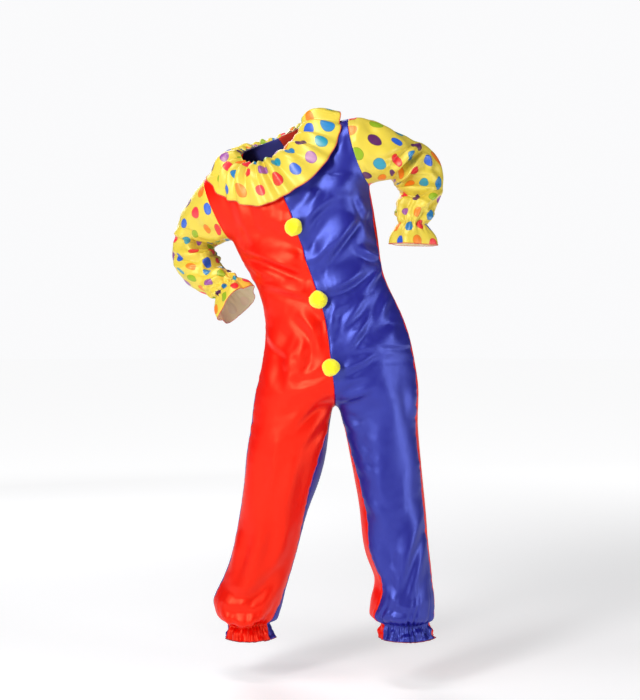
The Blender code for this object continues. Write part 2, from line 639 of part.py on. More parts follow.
def away_from_pompoms(points):
    keep = np.ones(len(points))
    for level in POMPOM_LEVELS.values():
        spot = min(SEAM_LINE, key=lambda p: abs(p[2] - level))
        gap = np.linalg.norm(points - vec((spot[0], spot[1], level)), axis=1)
        keep *= 1.0 - np.exp(-(gap / 34.0) ** 4)
    return keep


for name in CLOTH[:4]:
    piece = pieces[name]
    points = piece["points"]
    below_arm = 1.0 - smooth((points[:, 2] - 1300.0) / 120.0)
    ankle = smooth((points[:, 2] - 195.0) / 30.0)
    height = 0.0
    for folds, sign in ((FRONT_FOLDS, -1.0), (BACK_FOLDS, 1.0)):
        facing = smooth((normals[name][:, 1] * sign - 0.05) / 0.6)
        height = height + fold_height(points[:, 0], points[:, 2], folds) * facing
    height = height * ankle * below_arm * away_from_pompoms(points)
    piece["points"] = points + normals[name] * height[:, None]

normals = welded_normals(CLOTH)


def inward_pull(points, faces, normal, amount):
    # Direction in the cloth away from each open edge.
    pull = np.zeros_like(points)
    for a, b in boundary_edges(faces):
        run = unit(points[b] - points[a])
        for k in (a, b):
            pull[k] += np.cross(normal[k], run)
    size = np.linalg.norm(pull, axis=1)
    move = np.zeros_like(points)
    on = size > 1e-6
    move[on] = pull[on] / size[on][:, None] * amount
    return points + move


def wall_mesh(points, faces, normal, wall):
    count = len(points)
    verts = np.concatenate([points + normal * wall / 2, points - normal * wall / 2])
    solid = list(faces) + [tuple(k + count for k in reversed(face)) for face in faces]
    for a, b in boundary_edges(faces):
        if np.linalg.norm(verts[a] - verts[b + count]) < np.linalg.norm(verts[b] - verts[a + count]):
            solid += [(b, a, b + count), (a, a + count, b + count)]
        else:
            solid += [(b, a, a + count), (b, a + count, b + count)]
    return verts, solid


solids = {}
for name in CLOTH:
    piece = pieces[name]
    pulled = inward_pull(piece["points"], piece["faces"], normals[name], SEAM_GAP / 2)
    solids[name] = wall_mesh(pulled, piece["faces"], normals[name], WALL)


def neckline_row(side, face, q):
    grid = grids[side, face]
    first = FRONT_NECK_ROW if face > 0 else BACK_NECK_ROW
    place = lower_rows - 1 + first + q * (UPPER_ROWS - first)
    low = min(int(place), grid.shape[0] - 2)
    return grid[low, -1] + (grid[low + 1, -1] - grid[low, -1]) * (place - low)


def neckline_normal(side, face, q):
    # Normal of the panel beside the same place.
    count = grids[side, face].shape[0]
    first = FRONT_NECK_ROW if face > 0 else BACK_NECK_ROW
    row = min(int(round(lower_rows - 1 + first + q * (UPPER_ROWS - first))), count - 1)
    start = (ruffle_rows + 1) * (PANEL_COLUMNS * RUFFLE_SPLIT + 1)
    index = start + (row - ruffle_rows - 1) * (PANEL_COLUMNS + 1) + PANEL_COLUMNS
    return normals[NAMES[side, face]][index]


def collar_ring():
    ring, lift = [], []
    for j in range(COLLAR_COLUMNS):
        turn = 360.0 * j / COLLAR_COLUMNS
        face = 1 if turn < 180 else -1
        side = "left" if turn < 90 or turn >= 270 else "right"
        off = abs((turn % 180.0) - 90.0) / 90.0
        ring.append(neckline_row(side, face, off))
        lift.append(neckline_normal(side, face, off))
    return np.array(ring), np.array(lift)


def lie_over_bodice(points):
    # Points nearer than the clearance are moved out along the cloth below.
    verts, tris = [], []
    for name in CLOTH:
        tris += [tuple(k + len(verts) for k in face) for face in pieces[name]["faces"]]
        verts += [Vector(p) for p in pieces[name]["points"]]
    cloth_below = BVHTree.FromPolygons(verts, tris)
    for _ in range(3):
        for k, point in enumerate(points):
            spot, out, _, _ = cloth_below.find_nearest(Vector(point))
            height = (Vector(point) - spot).dot(out)
            if abs(height) < 40.0 and height < COLLAR_CLEARANCE:
                points[k] = point + vec(out) * (COLLAR_CLEARANCE - height)
    return points


def build_collar():
    turn = 2.0 * math.pi * np.arange(COLLAR_COLUMNS) / COLLAR_COLUMNS
    ring, lift = collar_ring()
    reach = np.where(np.sin(turn)[:, None] > 0, vec(COLLAR_FRONT), vec(COLLAR_BACK))
    hem = (vec(COLLAR_CENTRE) + np.outer(np.cos(turn), vec(COLLAR_HALF))
           + reach * np.abs(np.sin(turn))[:, None])
    place, wide, extra = COLLAR_TIP
    hem += unit(vec(COLLAR_FRONT)) * extra * np.exp(-((np.degrees(turn) - place) / wide) ** 2)[:, None]
    run = hem - ring
    edge = np.roll(ring, -1, axis=0) - np.roll(ring, 1, axis=0)
    out = np.cross(run, edge)
    out /= np.linalg.norm(out, axis=1)[:, None]
    out *= np.sign(out[:, 2:3])
    wave = 0.5 - 0.5 * np.cos(COLLAR_GATHERS * turn + 0.5 * np.sin(3 * turn))
    rows = []
    for i in range(COLLAR_ROWS + 1):
        s = (i / COLLAR_ROWS) ** 1.25
        arch = COLLAR_ARCH * math.sin(math.pi * s) ** 0.8 * (1 - 0.35 * s)
        size = COLLAR_WAVE * (0.45 + 0.75 * math.sin(math.pi * min(1.0, 0.08 + 1.1 * s)))
        row = ring + run * s + out * (2.4 + arch + wave * size)[:, None]
        rows.append(row)
    rows[0] = ring + lift * (WALL + SEAM_GAP + wave * COLLAR_WAVE * 0.5)[:, None]
    points = np.concatenate([rows[0], lie_over_bodice(np.concatenate(rows[1:]))])
    faces = grid_faces(COLLAR_ROWS, COLLAR_COLUMNS, True)
    normal = surface_normals(points, faces)
    if normal[0] @ out[0] < 0:
        faces = [tuple(reversed(face)) for face in faces]
        normal = -normal
    return wall_mesh(points, halve_quads(points, faces), normal, WALL)


solids["collar"] = build_collar()


def build_pompom(level):
    # Ball with a flat seat, trimmed a little unevenly, on the centre seam.
    grid = pieces["front_red"]["points"]
    wide = PANEL_COLUMNS + 1
    start = (ruffle_rows + 1) * (PANEL_COLUMNS * RUFFLE_SPLIT + 1)
    line = grid[start:].reshape(-1, wide, 3)[:, -1]
    tilt = normals["front_red"][start:].reshape(-1, wide, 3)[:, -1]
    low = max(k for k in range(len(line) - 1) if line[k, 2] <= level and line[k, 1] < -40)
    s = (level - line[low, 2]) / (line[low + 1, 2] - line[low, 2])
    spot = line[low] * (1 - s) + line[low + 1] * s
    out = unit(tilt[low] * (1 - s) + tilt[low + 1] * s)
    seat = 0.74 * POMPOM_RADIUS
    centre = spot + out * (seat + WALL / 2 + 0.5)
    side = unit(np.cross(out, vec((0.0, 0.0, 1.0))))
    up = np.cross(side, out)
    rings, columns = 9, 16
    points = [centre - out * seat]
    for i in range(1, rings):
        polar = math.pi * i / rings
        for j in range(columns):
            turn = 2.0 * math.pi * (j + 0.5 * (i % 2)) / columns
            size = POMPOM_RADIUS * (1.0 + 0.03 * math.cos(5 * turn + 2 * i))
            deep = max(-math.cos(polar) * size, -seat)
            flat = size * math.sin(polar)
            points.append(centre + out * deep + side * flat * math.cos(turn)
                          + up * flat * math.sin(turn))
    points.append(centre + out * POMPOM_RADIUS)
    faces = [(0, 1 + (j + 1) % columns, 1 + j) for j in range(columns)]
    for i in range(rings - 2):
        a, b = 1 + i * columns, 1 + (i + 1) * columns
        for j in range(columns):
            k = (j + 1) % columns
            faces.append((a + j, a + k, b + k, b + j))
    last = 1 + (rings - 2) * columns
    top = len(points) - 1
    faces += [(last + j, last + (j + 1) % columns, top) for j in range(columns)]
    points = np.array(points)
    if surface_normals(points, faces)[top] @ out < 0:
        faces = [tuple(reversed(face)) for face in faces]
    return points, faces


for name, level in POMPOM_LEVELS.items():
    solids[name] = build_pompom(level)


COLOURS = {
    "front_red": (0.93, 0.03, 0.01), "back_red": (0.93, 0.03, 0.01),
    "front_blue": (0.05, 0.05, 0.36), "back_blue": (0.05, 0.05, 0.36),
    "sleeve_right": (0.88, 0.62, 0.05), "sleeve_left": (0.88, 0.62, 0.05),
    "collar": (0.88, 0.62, 0.05), "pompom_upper": (0.92, 0.85, 0.0),
    "pompom_middle": (0.92, 0.85, 0.0), "pompom_lower": (0.92, 0.85, 0.0),
}

costume = bpy.data.collections.new("clown_costume")
bpy.context.scene.collection.children.link(costume)

for name, (points, faces) in solids.items():
    local = (np.array(points) - vec(NECK_CENTRE)) * MM
    mesh = bpy.data.meshes.new(name)
    mesh.from_pydata(local.tolist(), [], [tuple(face) for face in faces])
    mesh.validate()
    mesh.update()
    body = bpy.data.objects.new(name, mesh)
    costume.objects.link(body)
    cloth = bpy.data.materials.new(name + "_cloth")
    cloth.use_nodes = True
    shader = cloth.node_tree.nodes["Principled BSDF"]
    shader.inputs["Base Color"].default_value = COLOURS[name] + (1.0,)
    shader.inputs["Roughness"].default_value = 0.85 if name.startswith("pompom") else 0.35
    mesh.materials.append(cloth)
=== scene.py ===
import math
import bpy
import numpy as np
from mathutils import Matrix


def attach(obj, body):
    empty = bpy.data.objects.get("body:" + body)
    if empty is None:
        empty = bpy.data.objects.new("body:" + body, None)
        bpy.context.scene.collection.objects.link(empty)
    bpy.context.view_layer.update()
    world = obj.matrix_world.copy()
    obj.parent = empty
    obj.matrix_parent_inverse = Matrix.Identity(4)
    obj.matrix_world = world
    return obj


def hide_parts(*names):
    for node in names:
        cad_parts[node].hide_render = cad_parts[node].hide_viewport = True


# Two-colour satin clown costume in the pose it is worn in. The tables are in
# millimetres above the floor, seen from the front; crease lines are in steps of
# the picture frame. toFrame() moves all of it to the model's own frame.

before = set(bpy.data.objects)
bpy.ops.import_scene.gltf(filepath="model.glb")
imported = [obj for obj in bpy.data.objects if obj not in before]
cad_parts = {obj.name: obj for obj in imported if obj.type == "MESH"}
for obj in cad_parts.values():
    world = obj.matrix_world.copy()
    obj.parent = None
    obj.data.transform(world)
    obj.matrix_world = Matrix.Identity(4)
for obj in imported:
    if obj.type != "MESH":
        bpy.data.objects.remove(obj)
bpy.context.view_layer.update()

camera = dict(
    distance=4200.0,          # from the body to the lens, mm
    height=1050.0,
    step=2.75,                # mm of the body's plane in one step of the frame
    middleX=320.0, floorY=685.0,
    aim=921.25,               # height in the middle of the frame
    frameHeight=1925.0,
)
neckCentre = np.array((-128.0, 0.0, 1498.0))


def toFrame(points):
    # From millimetres above the floor to metres in the model's own frame.
    return (points - neckCentre) * 0.001


def smooth(value):
    value = np.clip(value, 0.0, 1.0)
    return value * value * (3.0 - 2.0 * value)


def table(names, *rows):
    # Columns of a table by name.
    return dict(zip(names.split(), np.array(rows, dtype=float).T))


def curveThrough(values, at):
    # Monotone cubic through a column, whose rows lie at 0, 1, 2, ...
    slope = np.diff(values)
    product = slope[:-1] * slope[1:]
    total = np.where(product > 0, slope[:-1] + slope[1:], 1.0)
    inner = np.where(product > 0, 2.0 * product / total, 0.0)
    tangent = np.concatenate([slope[:1], inner, slope[-1:]])
    return hermite(values, tangent, at)


def softCurve(values, at):
    # Catmull-Rom through a column.
    return hermite(values, np.gradient(values), at)


def hermite(values, tangent, at):
    # (2s^3-3s^2+1)p + (s^3-2s^2+s)m + (3s^2-2s^3)q + (s^3-s^2)n in each step.
    k = np.clip(np.floor(at).astype(int), 0, len(values) - 2)
    s = at - k
    return ((2 * s**3 - 3 * s**2 + 1) * values[k] + (s**3 - 2 * s**2 + s) * tangent[k]
            + (3 * s**2 - 2 * s**3) * values[k + 1] + (s**3 - s**2) * tangent[k + 1])


def finePlaces(counts):
    # Table places of the fine rows, counts of them between two table rows.
    return np.interp(np.arange(sum(counts) + 1), np.cumsum([0] + list(counts)),
                     np.arange(len(counts) + 1))


def runAlong(line):
    # Length along a line of points, from 0 at its start.
    return np.concatenate([[0.0], np.cumsum(np.linalg.norm(np.diff(line, axis=0), axis=1))])


def runAcross(grid):
    # Length along each row of a grid, from 0 at its first column.
    steps = np.linalg.norm(np.diff(grid, axis=1), axis=2)
    return np.concatenate([np.zeros((len(grid), 1)), np.cumsum(steps, axis=1)], axis=1)


def evenRows(rows, columns):
    # Each row of points again, at even distances: all rows in one interpolation,
    # each on its own stretch of the number line.
    run = runAcross(rows)
    own = 2.0 * np.arange(len(rows))[:, None]
    have = run / run[:, -1:] + own
    want = np.linspace(0.0, 1.0, columns + 1)[None, :] + own
    return np.stack([np.interp(want.ravel(), have.ravel(), rows[..., k].ravel())
                     .reshape(want.shape) for k in range(3)], axis=2)


def bend(a, b, c, q):
    # (1-q)^2 a + 2q(1-q) b + q^2 c
    return (1 - q) ** 2 * a + 2 * q * (1 - q) * b + q * q * c


def unit(v):
    return v / np.maximum(np.linalg.norm(v, axis=-1, keepdims=True), 1e-9)


def ripple(points, length, seed, count=14, stretch=(1.0, 1.0, 1.0)):
    # Sum of sines in random directions, about one in height: sqrt(2/n) sum sin(k.p + turn).
    draw = np.random.default_rng(seed)
    way = unit(draw.normal(size=(count, 3))) * draw.uniform(0.7, 1.4, (count, 1))
    turn = draw.uniform(0.0, 2.0 * math.pi, count)
    at = (points / np.array(stretch)) @ (way * 2.0 * math.pi / length).T + turn
    return np.sin(at).sum(axis=-1) * math.sqrt(2.0 / count)


body = dict(
    columns=64,               # across a panel
    # fine rows between the table's rows, hem to armpit
    rows=(10, 4, 5, 7, 15, 15, 22, 22, 22, 18, 8, 4, 7, 8, 10, 22, 22, 16, 12, 15),
    upperRows=60,             # armpit to shoulder
    frontNeck=0.5, backNeck=2.0 / 3.0,   # where the neckline starts between them
    # hem, elastic, bloused cloth, calf, knee, thigh
    rightLeg=table(
        "z outerX innerX y depth side inseam",
        (116, -266, -126, 48, 70, 12, 28),
        (157, -256, -142, 50, 56, 12, 28),
        (170, -278, -122, 50, 72, 12, 28),
        (190, -296, -112, 50, 86, 11, 26),
        (219, -306, -100, 48, 92, 10, 18),
        (286, -275, -83, 42, 89, 10, 10),
        (354, -247, -64, 35, 88, 12, 9),
        (455, -224, -39, 25, 91, 13, 24),
        (556, -207, 0, 15, 98, 14, 42),
        (657, -201, 25, 5, 101, 14, 36),
        (738, -190, 36, 0, 103, 14, 16)),
    leftLeg=table(
        "z outerX innerX y depth side inseam",
        (136, 313, 160, -42, 76, 20, 30),
        (177, 298, 168, -40, 64, 20, 30),
        (188, 310, 146, -40, 78, 18, 30),
        (205, 315, 133, -40, 88, 16, 30),
        (238, 318, 136, -38, 90, 16, 46),
        (296, 310, 149, -32, 84, 20, 46),
        (364, 303, 121, -25, 88, 24, 36),
        (461, 296, 110, -15, 92, 28, 38),
        (559, 288, 93, -8, 98, 28, 31),
        (657, 280, 71, -2, 101, 28, 22),
        (740, 275, 51, 0, 103, 27, 12)),
    # fork: how far round the section turns in under the body, yaw: turn of the chest
    torso=table(
        "leftX leftZ rightX rightZ seamX seamZ depth fork yaw twist",
        (-185, 772, 274, 772, 41, 766, 104, 90, 0, 0),
        (-183, 791, 275, 791, 40, 778, 109, 57, 0, 0),
        (-178, 820, 272, 822, 39, 802, 117, 24, 2, 0),
        (-170, 852, 266, 860, 36, 842, 125, 3, 4, 0),
        (-160, 895, 256, 912, 29, 896, 127, 0, 5, 1),
        (-151, 987, 234, 1012, 17, 998, 120, 0, 7, 2),
        (-169, 1078, 166, 1138, -19, 1108, 112, 0, 6, 5),
        (-204, 1150, 162, 1208, -43, 1174, 118, 0, 8, 8),
        (-228, 1189, 148, 1275, -56, 1226, 123, 0, 9, 11),
        (-243, 1224, 133, 1370, -82, 1298, 124, 0, 10, 14)),
    # how far the side seams lie in front of the body's edge above the legs, degrees
    sideForward=dict(right=0.0, left=11.0),
    # armholes: centre, half the line from armpit to shoulder, half the depth
    rightHole=np.array(((-280, 62, 1311), (-36, 0, 87), (-17, -68, 0)), dtype=float),
    leftHole=np.array(((106, -50, 1459), (-27, 0, 89), (-17, -68, 0)), dtype=float),
    holeBack=0.85,
    neckHalf=np.array((83.0, -20.0, 32.0)),
    neckFront=np.array((-18.0, -70.0, -64.0)),
    neckBack=np.array((12.0, 64.0, 12.0)),
    chestControl=np.array((-114.0, -124.0, 1376.0)),
    backControl=np.array((-44.0, 134.0, 1420.0)),
    wall=0.0008,              # m
)
lowerCount = sum(body["rows"])                       # index of the armpit row
forkRow = sum(body["rows"][:11])
upperCount = body["upperRows"]


def halfBody(side):
    # All sections of one half below the armpit: the tables' columns, eased along the rows.
    leg, torso = body[side + "Leg"], body["torso"]
    sign = -1.0 if side == "right" else 1.0
    outer, outerZ = ("leftX", "leftZ") if side == "right" else ("rightX", "rightZ")
    front = torso["fork"] + sign * torso["yaw"]
    back = torso["fork"] - sign * torso["yaw"]
    half = np.abs(torso[outer] - torso["seamX"]) / (1.0 + np.sin(np.radians(front)))
    none = np.zeros(len(leg["z"]))
    keys = dict(
        centre=(0.5 * (leg["outerX"] + leg["innerX"]), torso[outer] - sign * half),
        half=(0.5 * np.abs(leg["outerX"] - leg["innerX"]), half),
        y=(leg["y"], np.zeros(len(half))),
        depth=(leg["depth"], torso["depth"]),
        outerZ=(leg["z"], torso[outerZ]), seamZ=(leg["z"], torso["seamZ"]),
        seamX=(leg["innerX"], torso["seamX"]),
        side=(90 - leg["side"], 90 - leg["side"][-1] * torso["fork"] / 90.0
              - body["sideForward"][side] * (1 - torso["fork"] / 90.0)),
        front=(90 - leg["inseam"], front), back=(90 - leg["inseam"], 180 - back),
        twist=(none, torso["twist"]))
    places = finePlaces(body["rows"])
    calm = smooth((places - 4.5) / 2.0)              # the ankle keeps its sharp waist
    rows = {}
    for name, (low, high) in keys.items():
        exact = curveThrough(np.concatenate([low, high]), places)
        rows[name] = exact + (ease(exact, 7.0) - exact) * calm
    return rows, sign


def ease(values, width):
    # Bell-shaped mean over neighbours, with both ends kept.
    reach = int(3 * width)
    bell = np.exp(-0.5 * (np.arange(-reach, reach + 1) / width) ** 2)
    padded = np.concatenate([2 * values[0] - values[reach:0:-1], values,
                             2 * values[-1] - values[-2:-reach - 2:-1]])
    return np.convolve(padded, bell / bell.sum(), mode="valid")


def armholePoint(side, t, face):
    # centre - rise cos(pi t) + front sin(pi t)
    centre, rise, front = body[side + "Hole"]
    turn = math.pi * t
    share = 1.0 if face > 0 else -body["holeBack"]
    return centre - rise * np.cos(turn) + share * front * np.sin(turn)


def neckPoint(side, face, q):
    # Quarter of the neckline, from the middle to the shoulder seam.
    sign = -1.0 if side == "right" else 1.0
    turn = 0.5 * math.pi * q
    reach = body["neckFront"] if face > 0 else body["neckBack"]
    return neckCentre + sign * body["neckHalf"] * np.sin(turn) + reach * np.cos(turn)


def panelGrid(side, face):
    # Rows from hem to shoulder, columns from side seam to centre seam. Below the armpit
    # x = centre - half sin(a), y = y0 - depth cos(a); above it, one Bezier curve a row.
    rows, sign = halfBody(side)
    col = {name: values[:, None] for name, values in rows.items()}
    share = np.linspace(0.0, 1.0, 97)[None, :]
    last = col["front"] if face > 0 else col["back"] - 360.0
    angle = np.radians(-col["side"] + (last + col["side"]) * share)
    x = col["centre"] - sign * col["half"] * np.sin(angle)
    y = col["y"] - col["depth"] * np.cos(angle)
    run = (x - col["seamX"]) / (col["centre"] + sign * col["half"] - col["seamX"])
    z = col["seamZ"] + (col["outerZ"] - col["seamZ"]) * run
    y = y - (x - col["seamX"]) * np.tan(np.radians(col["twist"]))
    lower = evenRows(np.stack([x, y, z], axis=2), body["columns"])
    shift = armholePoint(side, 0.0, face) - lower[-1, 0]
    fade = smooth((np.arange(lowerCount + 1) - (lowerCount - 48)) / 48.0)
    across = 1.0 - np.linspace(0.0, 1.0, body["columns"] + 1)
    lower += fade[:, None, None] * across[None, :, None] ** 2 * shift

    t = np.arange(1, upperCount + 1)[:, None] / upperCount
    neck = body["frontNeck"] if face > 0 else body["backNeck"]
    control = body["chestControl"] if face > 0 else body["backControl"]
    sideways = sign * unit(body["neckHalf"])
    a = armholePoint(side, t, face)
    seam = bend(lower[-1, -1], control, neckPoint(side, face, 0.0), np.minimum(t / neck, 1.0))
    b = np.where(t <= neck, seam, neckPoint(side, face, np.clip((t - neck) / (1 - neck), 0, 1)))
    along = unit(b - a)
    lead, level = smooth(t / 0.75), smooth((t - 0.4) / 0.6)
    towardA = unit((1 - lead) * np.array((0.0, -face, 0.0)) + lead * along)
    towardB = unit((1 - level) * -sideways + level * along)
    handles = np.linalg.pinv(np.stack([towardA, towardB], axis=2), rcond=0.05) @ (b - a)[:, :, None]
    first = a + 0.552 * handles[:, 0] * towardA
    second = b - 0.552 * handles[:, 1] * towardB
    s = np.linspace(0.0, 1.0, 65)[None, :, None]
    a, b, first, second = (p[:, None, :] for p in (a, b, first, second))
    upper = (1 - s) ** 3 * a + 3 * s * (1 - s) ** 2 * first + 3 * s * s * (1 - s) * second + s**3 * b
    return np.concatenate([lower, evenRows(upper, body["columns"])])


def quadFaces(ids, closed):
    # Four corners of every cell of a grid of vertex numbers.
    other = np.roll(ids, -1, axis=1) if closed else ids[:, 1:]
    here = ids if closed else ids[:, :-1]
    return np.stack([here[:-1], other[:-1], other[1:], here[1:]], axis=2).reshape(-1, 4)


sleeve = dict(
    rows=(16, 12, 12, 11, 11, 10, 10, 10, 7, 7),
    cuffRows=20,
    ringLevel=0.12,           # how far the rings turn with the depth of the bend
    right=table(
        "x y z wide deep lean",
        (-280, 62, 1311, 95, 70, 113), (-314, 92, 1284, 80, 72, 122),
        (-338, 128, 1257, 68, 70, 137), (-354, 160, 1230, 59, 68, 160),
        (-361, 174, 1204, 61, 66, 177), (-354, 162, 1176, 66, 64, 189),
        (-340, 136, 1150, 63, 62, 196), (-316, 104, 1124, 57, 58, 205),
        (-288, 72, 1108, 52, 54, 217), (-272, 56, 1100, 46, 47, 222),
        (-259, 44, 1091, 40, 40, 225)),
    left=table(
        "x y z wide deep lean",
        (106, -50, 1459, 93, 70, 107), (145, -48, 1465, 88, 72, 101),
        (184, -36, 1457, 71, 72, 92), (222, -16, 1440, 62, 70, 68),
        (252, 2, 1424, 72, 70, 46), (270, 8, 1400, 72, 68, 24),
        (277, 4, 1372, 63, 64, 10), (274, -8, 1345, 57, 60, -4),
        (263, -22, 1317, 56, 56, -4), (256, -36, 1290, 50, 50, -6),
        (251, -46, 1264, 36, 38, -3)),
    rightCuff=dict(tip=(-229, 18, 1047), wide=64, deep=60, lean=227),
    leftCuff=dict(tip=(253, -47, 1209), wide=63, deep=60, lean=-2),
    # folds round the sleeve: place along it, angle from the outer edge towards the front
    folds=table(
        "at angle slant reach width height",
        (0.16, 70, 0.05, 60, 0.030, 5), (0.34, 110, -0.06, 70, 0.028, 6),
        (0.46, 150, 0.03, 60, 0.024, 7), (0.55, 200, -0.04, 80, 0.024, 7),
        (0.64, 60, 0.05, 70, 0.026, 5), (0.76, 130, -0.04, 70, 0.024, 6),
        (0.87, 40, 0.02, 90, 0.022, 5), (0.90, 220, -0.02, 80, 0.022, 5),
        (0.28, 250, 0.05, 60, 0.024, 6), (0.40, 240, -0.05, 55, 0.022, 6),
        (0.49, 280, 0.04, 60, 0.020, 6), (0.68, 250, 0.05, 60, 0.022, 6),
        (0.78, 290, -0.05, 55, 0.020, 5)),
    flatWidth=0.50, flatLength=0.56,
)
sleeveColumns = 2 * upperCount


def ringAt(centre, tangent, wide, deep, lean, turn):
    # centre + wide cos(turn) across + deep sin(turn) forward, for every ring at once
    lean = np.radians(lean)
    across = np.stack([np.cos(lean), 0 * lean, np.sin(lean)], axis=1)
    forward = unit(np.cross(tangent, across))
    forward = np.where(forward[:, 1:2] < 0, forward, -forward)
    return (centre[:, None] + (np.cos(turn)[None, :] * wide[:, None])[..., None] * across[:, None]
            + (np.sin(turn)[None, :] * deep[:, None])[..., None] * forward[:, None])


def sleeveGrid(side, armhole):
    # Rings from armhole to elastic, then the cuff to its hem. Columns start at the armpit
    # and go up the back, over the shoulder and down the front.
    places = finePlaces(sleeve["rows"])
    track = {name: softCurve(column, places) for name, column in sleeve[side].items()}
    centres = np.stack([track["x"], track["y"], track["z"]], axis=1)
    tangent = unit(np.gradient(centres, axis=0) * np.array((1.0, sleeve["ringLevel"], 1.0)))
    turn = math.pi + 2.0 * math.pi * np.arange(sleeveColumns) / sleeveColumns
    rings = ringAt(centres, tangent, track["wide"], track["deep"], track["lean"], turn)
    run = runAlong(centres)
    rings += (1.0 - smooth(run / 70.0))[:, None, None] * (armhole - rings[0])
    cuff = sleeve[side + "Cuff"]
    tip = np.array(cuff["tip"], dtype=float)
    axis = unit(tip - centres[-1])
    hem = ringAt(tip[None], axis[None], *(np.array([float(cuff[k])]) for k in ("wide", "deep", "lean")),
                 turn)[0]
    s = np.linspace(0.0, 1.0, sleeve["cuffRows"] + 1)[1:, None, None]
    spread = np.sin(0.5 * math.pi * s) ** 0.8
    middle = centres[-1] + (tip - centres[-1]) * s
    bell = middle + (rings[-1] - centres[-1]) * (1 - spread) + (hem - tip) * spread
    return np.concatenate([rings, bell])


print("stage: panels and sleeves")
panelOf = {("right", 1): "frontRed", ("left", 1): "frontBlue",
           ("right", -1): "backBlue", ("left", -1): "backRed"}
grids = {name: panelGrid(*key) for key, name in panelOf.items()}
gridIds, first = {}, 0
for name, grid in grids.items():
    gridIds[name] = first + np.arange(grid.shape[0] * grid.shape[1]).reshape(grid.shape[:2])
    first += grid.shape[0] * grid.shape[1]

# sewn edges share their vertices
frontTop = lowerCount + int(round(upperCount * body["frontNeck"]))
backTop = lowerCount + int(round(upperCount * body["backNeck"]))
gridIds["frontBlue"][forkRow:frontTop + 1, -1] = gridIds["frontRed"][forkRow:frontTop + 1, -1]
for front, back in (("frontRed", "backBlue"), ("frontBlue", "backRed")):
    gridIds[back][:lowerCount + 1, 0] = gridIds[front][:lowerCount + 1, 0]
    gridIds[back][:forkRow + 1, -1] = gridIds[front][:forkRow + 1, -1]
    gridIds[back][-1] = gridIds[front][-1]
gridIds["backRed"][forkRow:backTop + 1, -1] = gridIds["backBlue"][forkRow:backTop + 1, -1]
holeIds = {}
for side, front, back in (("right", "frontRed", "backBlue"), ("left", "frontBlue", "backRed")):
    holeIds[side] = np.concatenate([gridIds[back][lowerCount:, 0],
                                    gridIds[front][lowerCount:, 0][::-1][1:-1]])


def meetAtSeams():
    # Both edges of a seam move to their mean line, and the cloth beside them follows.
    total = np.zeros((first, 3))
    times = np.zeros(first)
    for name, ids in gridIds.items():
        for k in range(3):
            total[:, k] += np.bincount(ids.ravel(), grids[name][..., k].ravel(), first)
        times += np.bincount(ids.ravel(), minlength=first)
    mean = total / np.maximum(times, 1)[:, None]
    across = smooth(np.linspace(0.0, 1.0, body["columns"] + 1))[None, :, None]
    for name, ids in gridIds.items():
        grid = grids[name]
        left = (mean[ids[:, 0]] - grid[:, 0])[:, None]
        right = (mean[ids[:, -1]] - grid[:, -1])[:, None]
        grid += left * (1.0 - across) + right * across
        grid[-1] = mean[ids[-1]]


meetAtSeams()
points = np.zeros((first, 3))
for name, ids in gridIds.items():
    points[ids] = grids[name]
bodyCount = first
for side in ("right", "left"):
    grid = sleeveGrid(side, points[holeIds[side]])
    name = "sleeve" + side.capitalize()
    ids = first + np.arange((len(grid) - 1) * sleeveColumns).reshape(-1, sleeveColumns)
    gridIds[name] = np.concatenate([holeIds[side][None], ids])
    points = np.concatenate([points, grid[1:].reshape(-1, 3)])
    first += ids.size
    grids[name] = grid



def cellNormals(points, faces):
    # Cross product of each cell's diagonals.
    return np.cross(points[faces[:, 2]] - points[faces[:, 0]], points[faces[:, 3]] - points[faces[:, 1]])


clothFaces = {}
for name, ids in gridIds.items():
    faces = quadFaces(ids, name.startswith("sleeve"))
    grid = grids[name]
    cell = cellNormals(points, faces)
    if name.startswith("sleeve"):
        out = (grid - grid.mean(axis=1, keepdims=True))[:-1].reshape(-1, 3)
        inward = (cell * out).sum() < 0
    else:
        inward = (cell[:, 1].sum() > 0) == name.startswith("front")
    clothFaces[name] = faces[:, ::-1] if inward else faces
allFaces = np.concatenate(list(clothFaces.values()))
edges = np.concatenate([allFaces[:, [0, 1]], allFaces[:, [1, 2]], allFaces[:, [2, 3]], allFaces[:, [3, 0]]])
edges = np.unique(np.sort(edges, axis=1), axis=0)
degree = np.bincount(edges.ravel(), minlength=first).astype(float)


def neighbourMean(values):
    # Mean over the vertices that share an edge with each one.
    out = np.empty_like(values)
    for k in range(values.shape[1]):
        total = (np.bincount(edges[:, 0], values[edges[:, 1], k], first)
                 + np.bincount(edges[:, 1], values[edges[:, 0], k], first))
        out[:, k] = total / np.maximum(degree, 1)
    return out


def normalsOf(points):
    # Mean normal of the faces round each vertex.
    cell = cellNormals(points, allFaces)
    total = np.stack([sum(np.bincount(allFaces[:, c], cell[:, k], first) for c in range(4))
                      for k in range(3)], axis=1)
    return unit(total)


# open edges stay, and so do the narrow waists at the elastics
easing = dict(
    steps=50, forkSteps=90, share=0.5,
    forkHeight=715.0, forkReach=75.0,     # mm, where leg and torso sections meet
    foldSteps=2, foldShare=0.35,          # on the folded panels
)
hold = np.ones(first)
for name in panelOf.values():
    ids = gridIds[name]
    hold[ids[:22]] = smooth((np.arange(22) - 16.0) / 6.0)[:, None]
for name in panelOf.values():
    top = frontTop if name.startswith("front") else backTop
    hold[gridIds[name][top:, -1]] = 0.0
for name in ("sleeveRight", "sleeveLeft"):
    ids = gridIds[name]
    hold[ids[-sleeve["cuffRows"] - 8:]] = 0.0
for step in range(easing["steps"]):
    points += easing["share"] * hold[:, None] * (neighbourMean(points) - points)
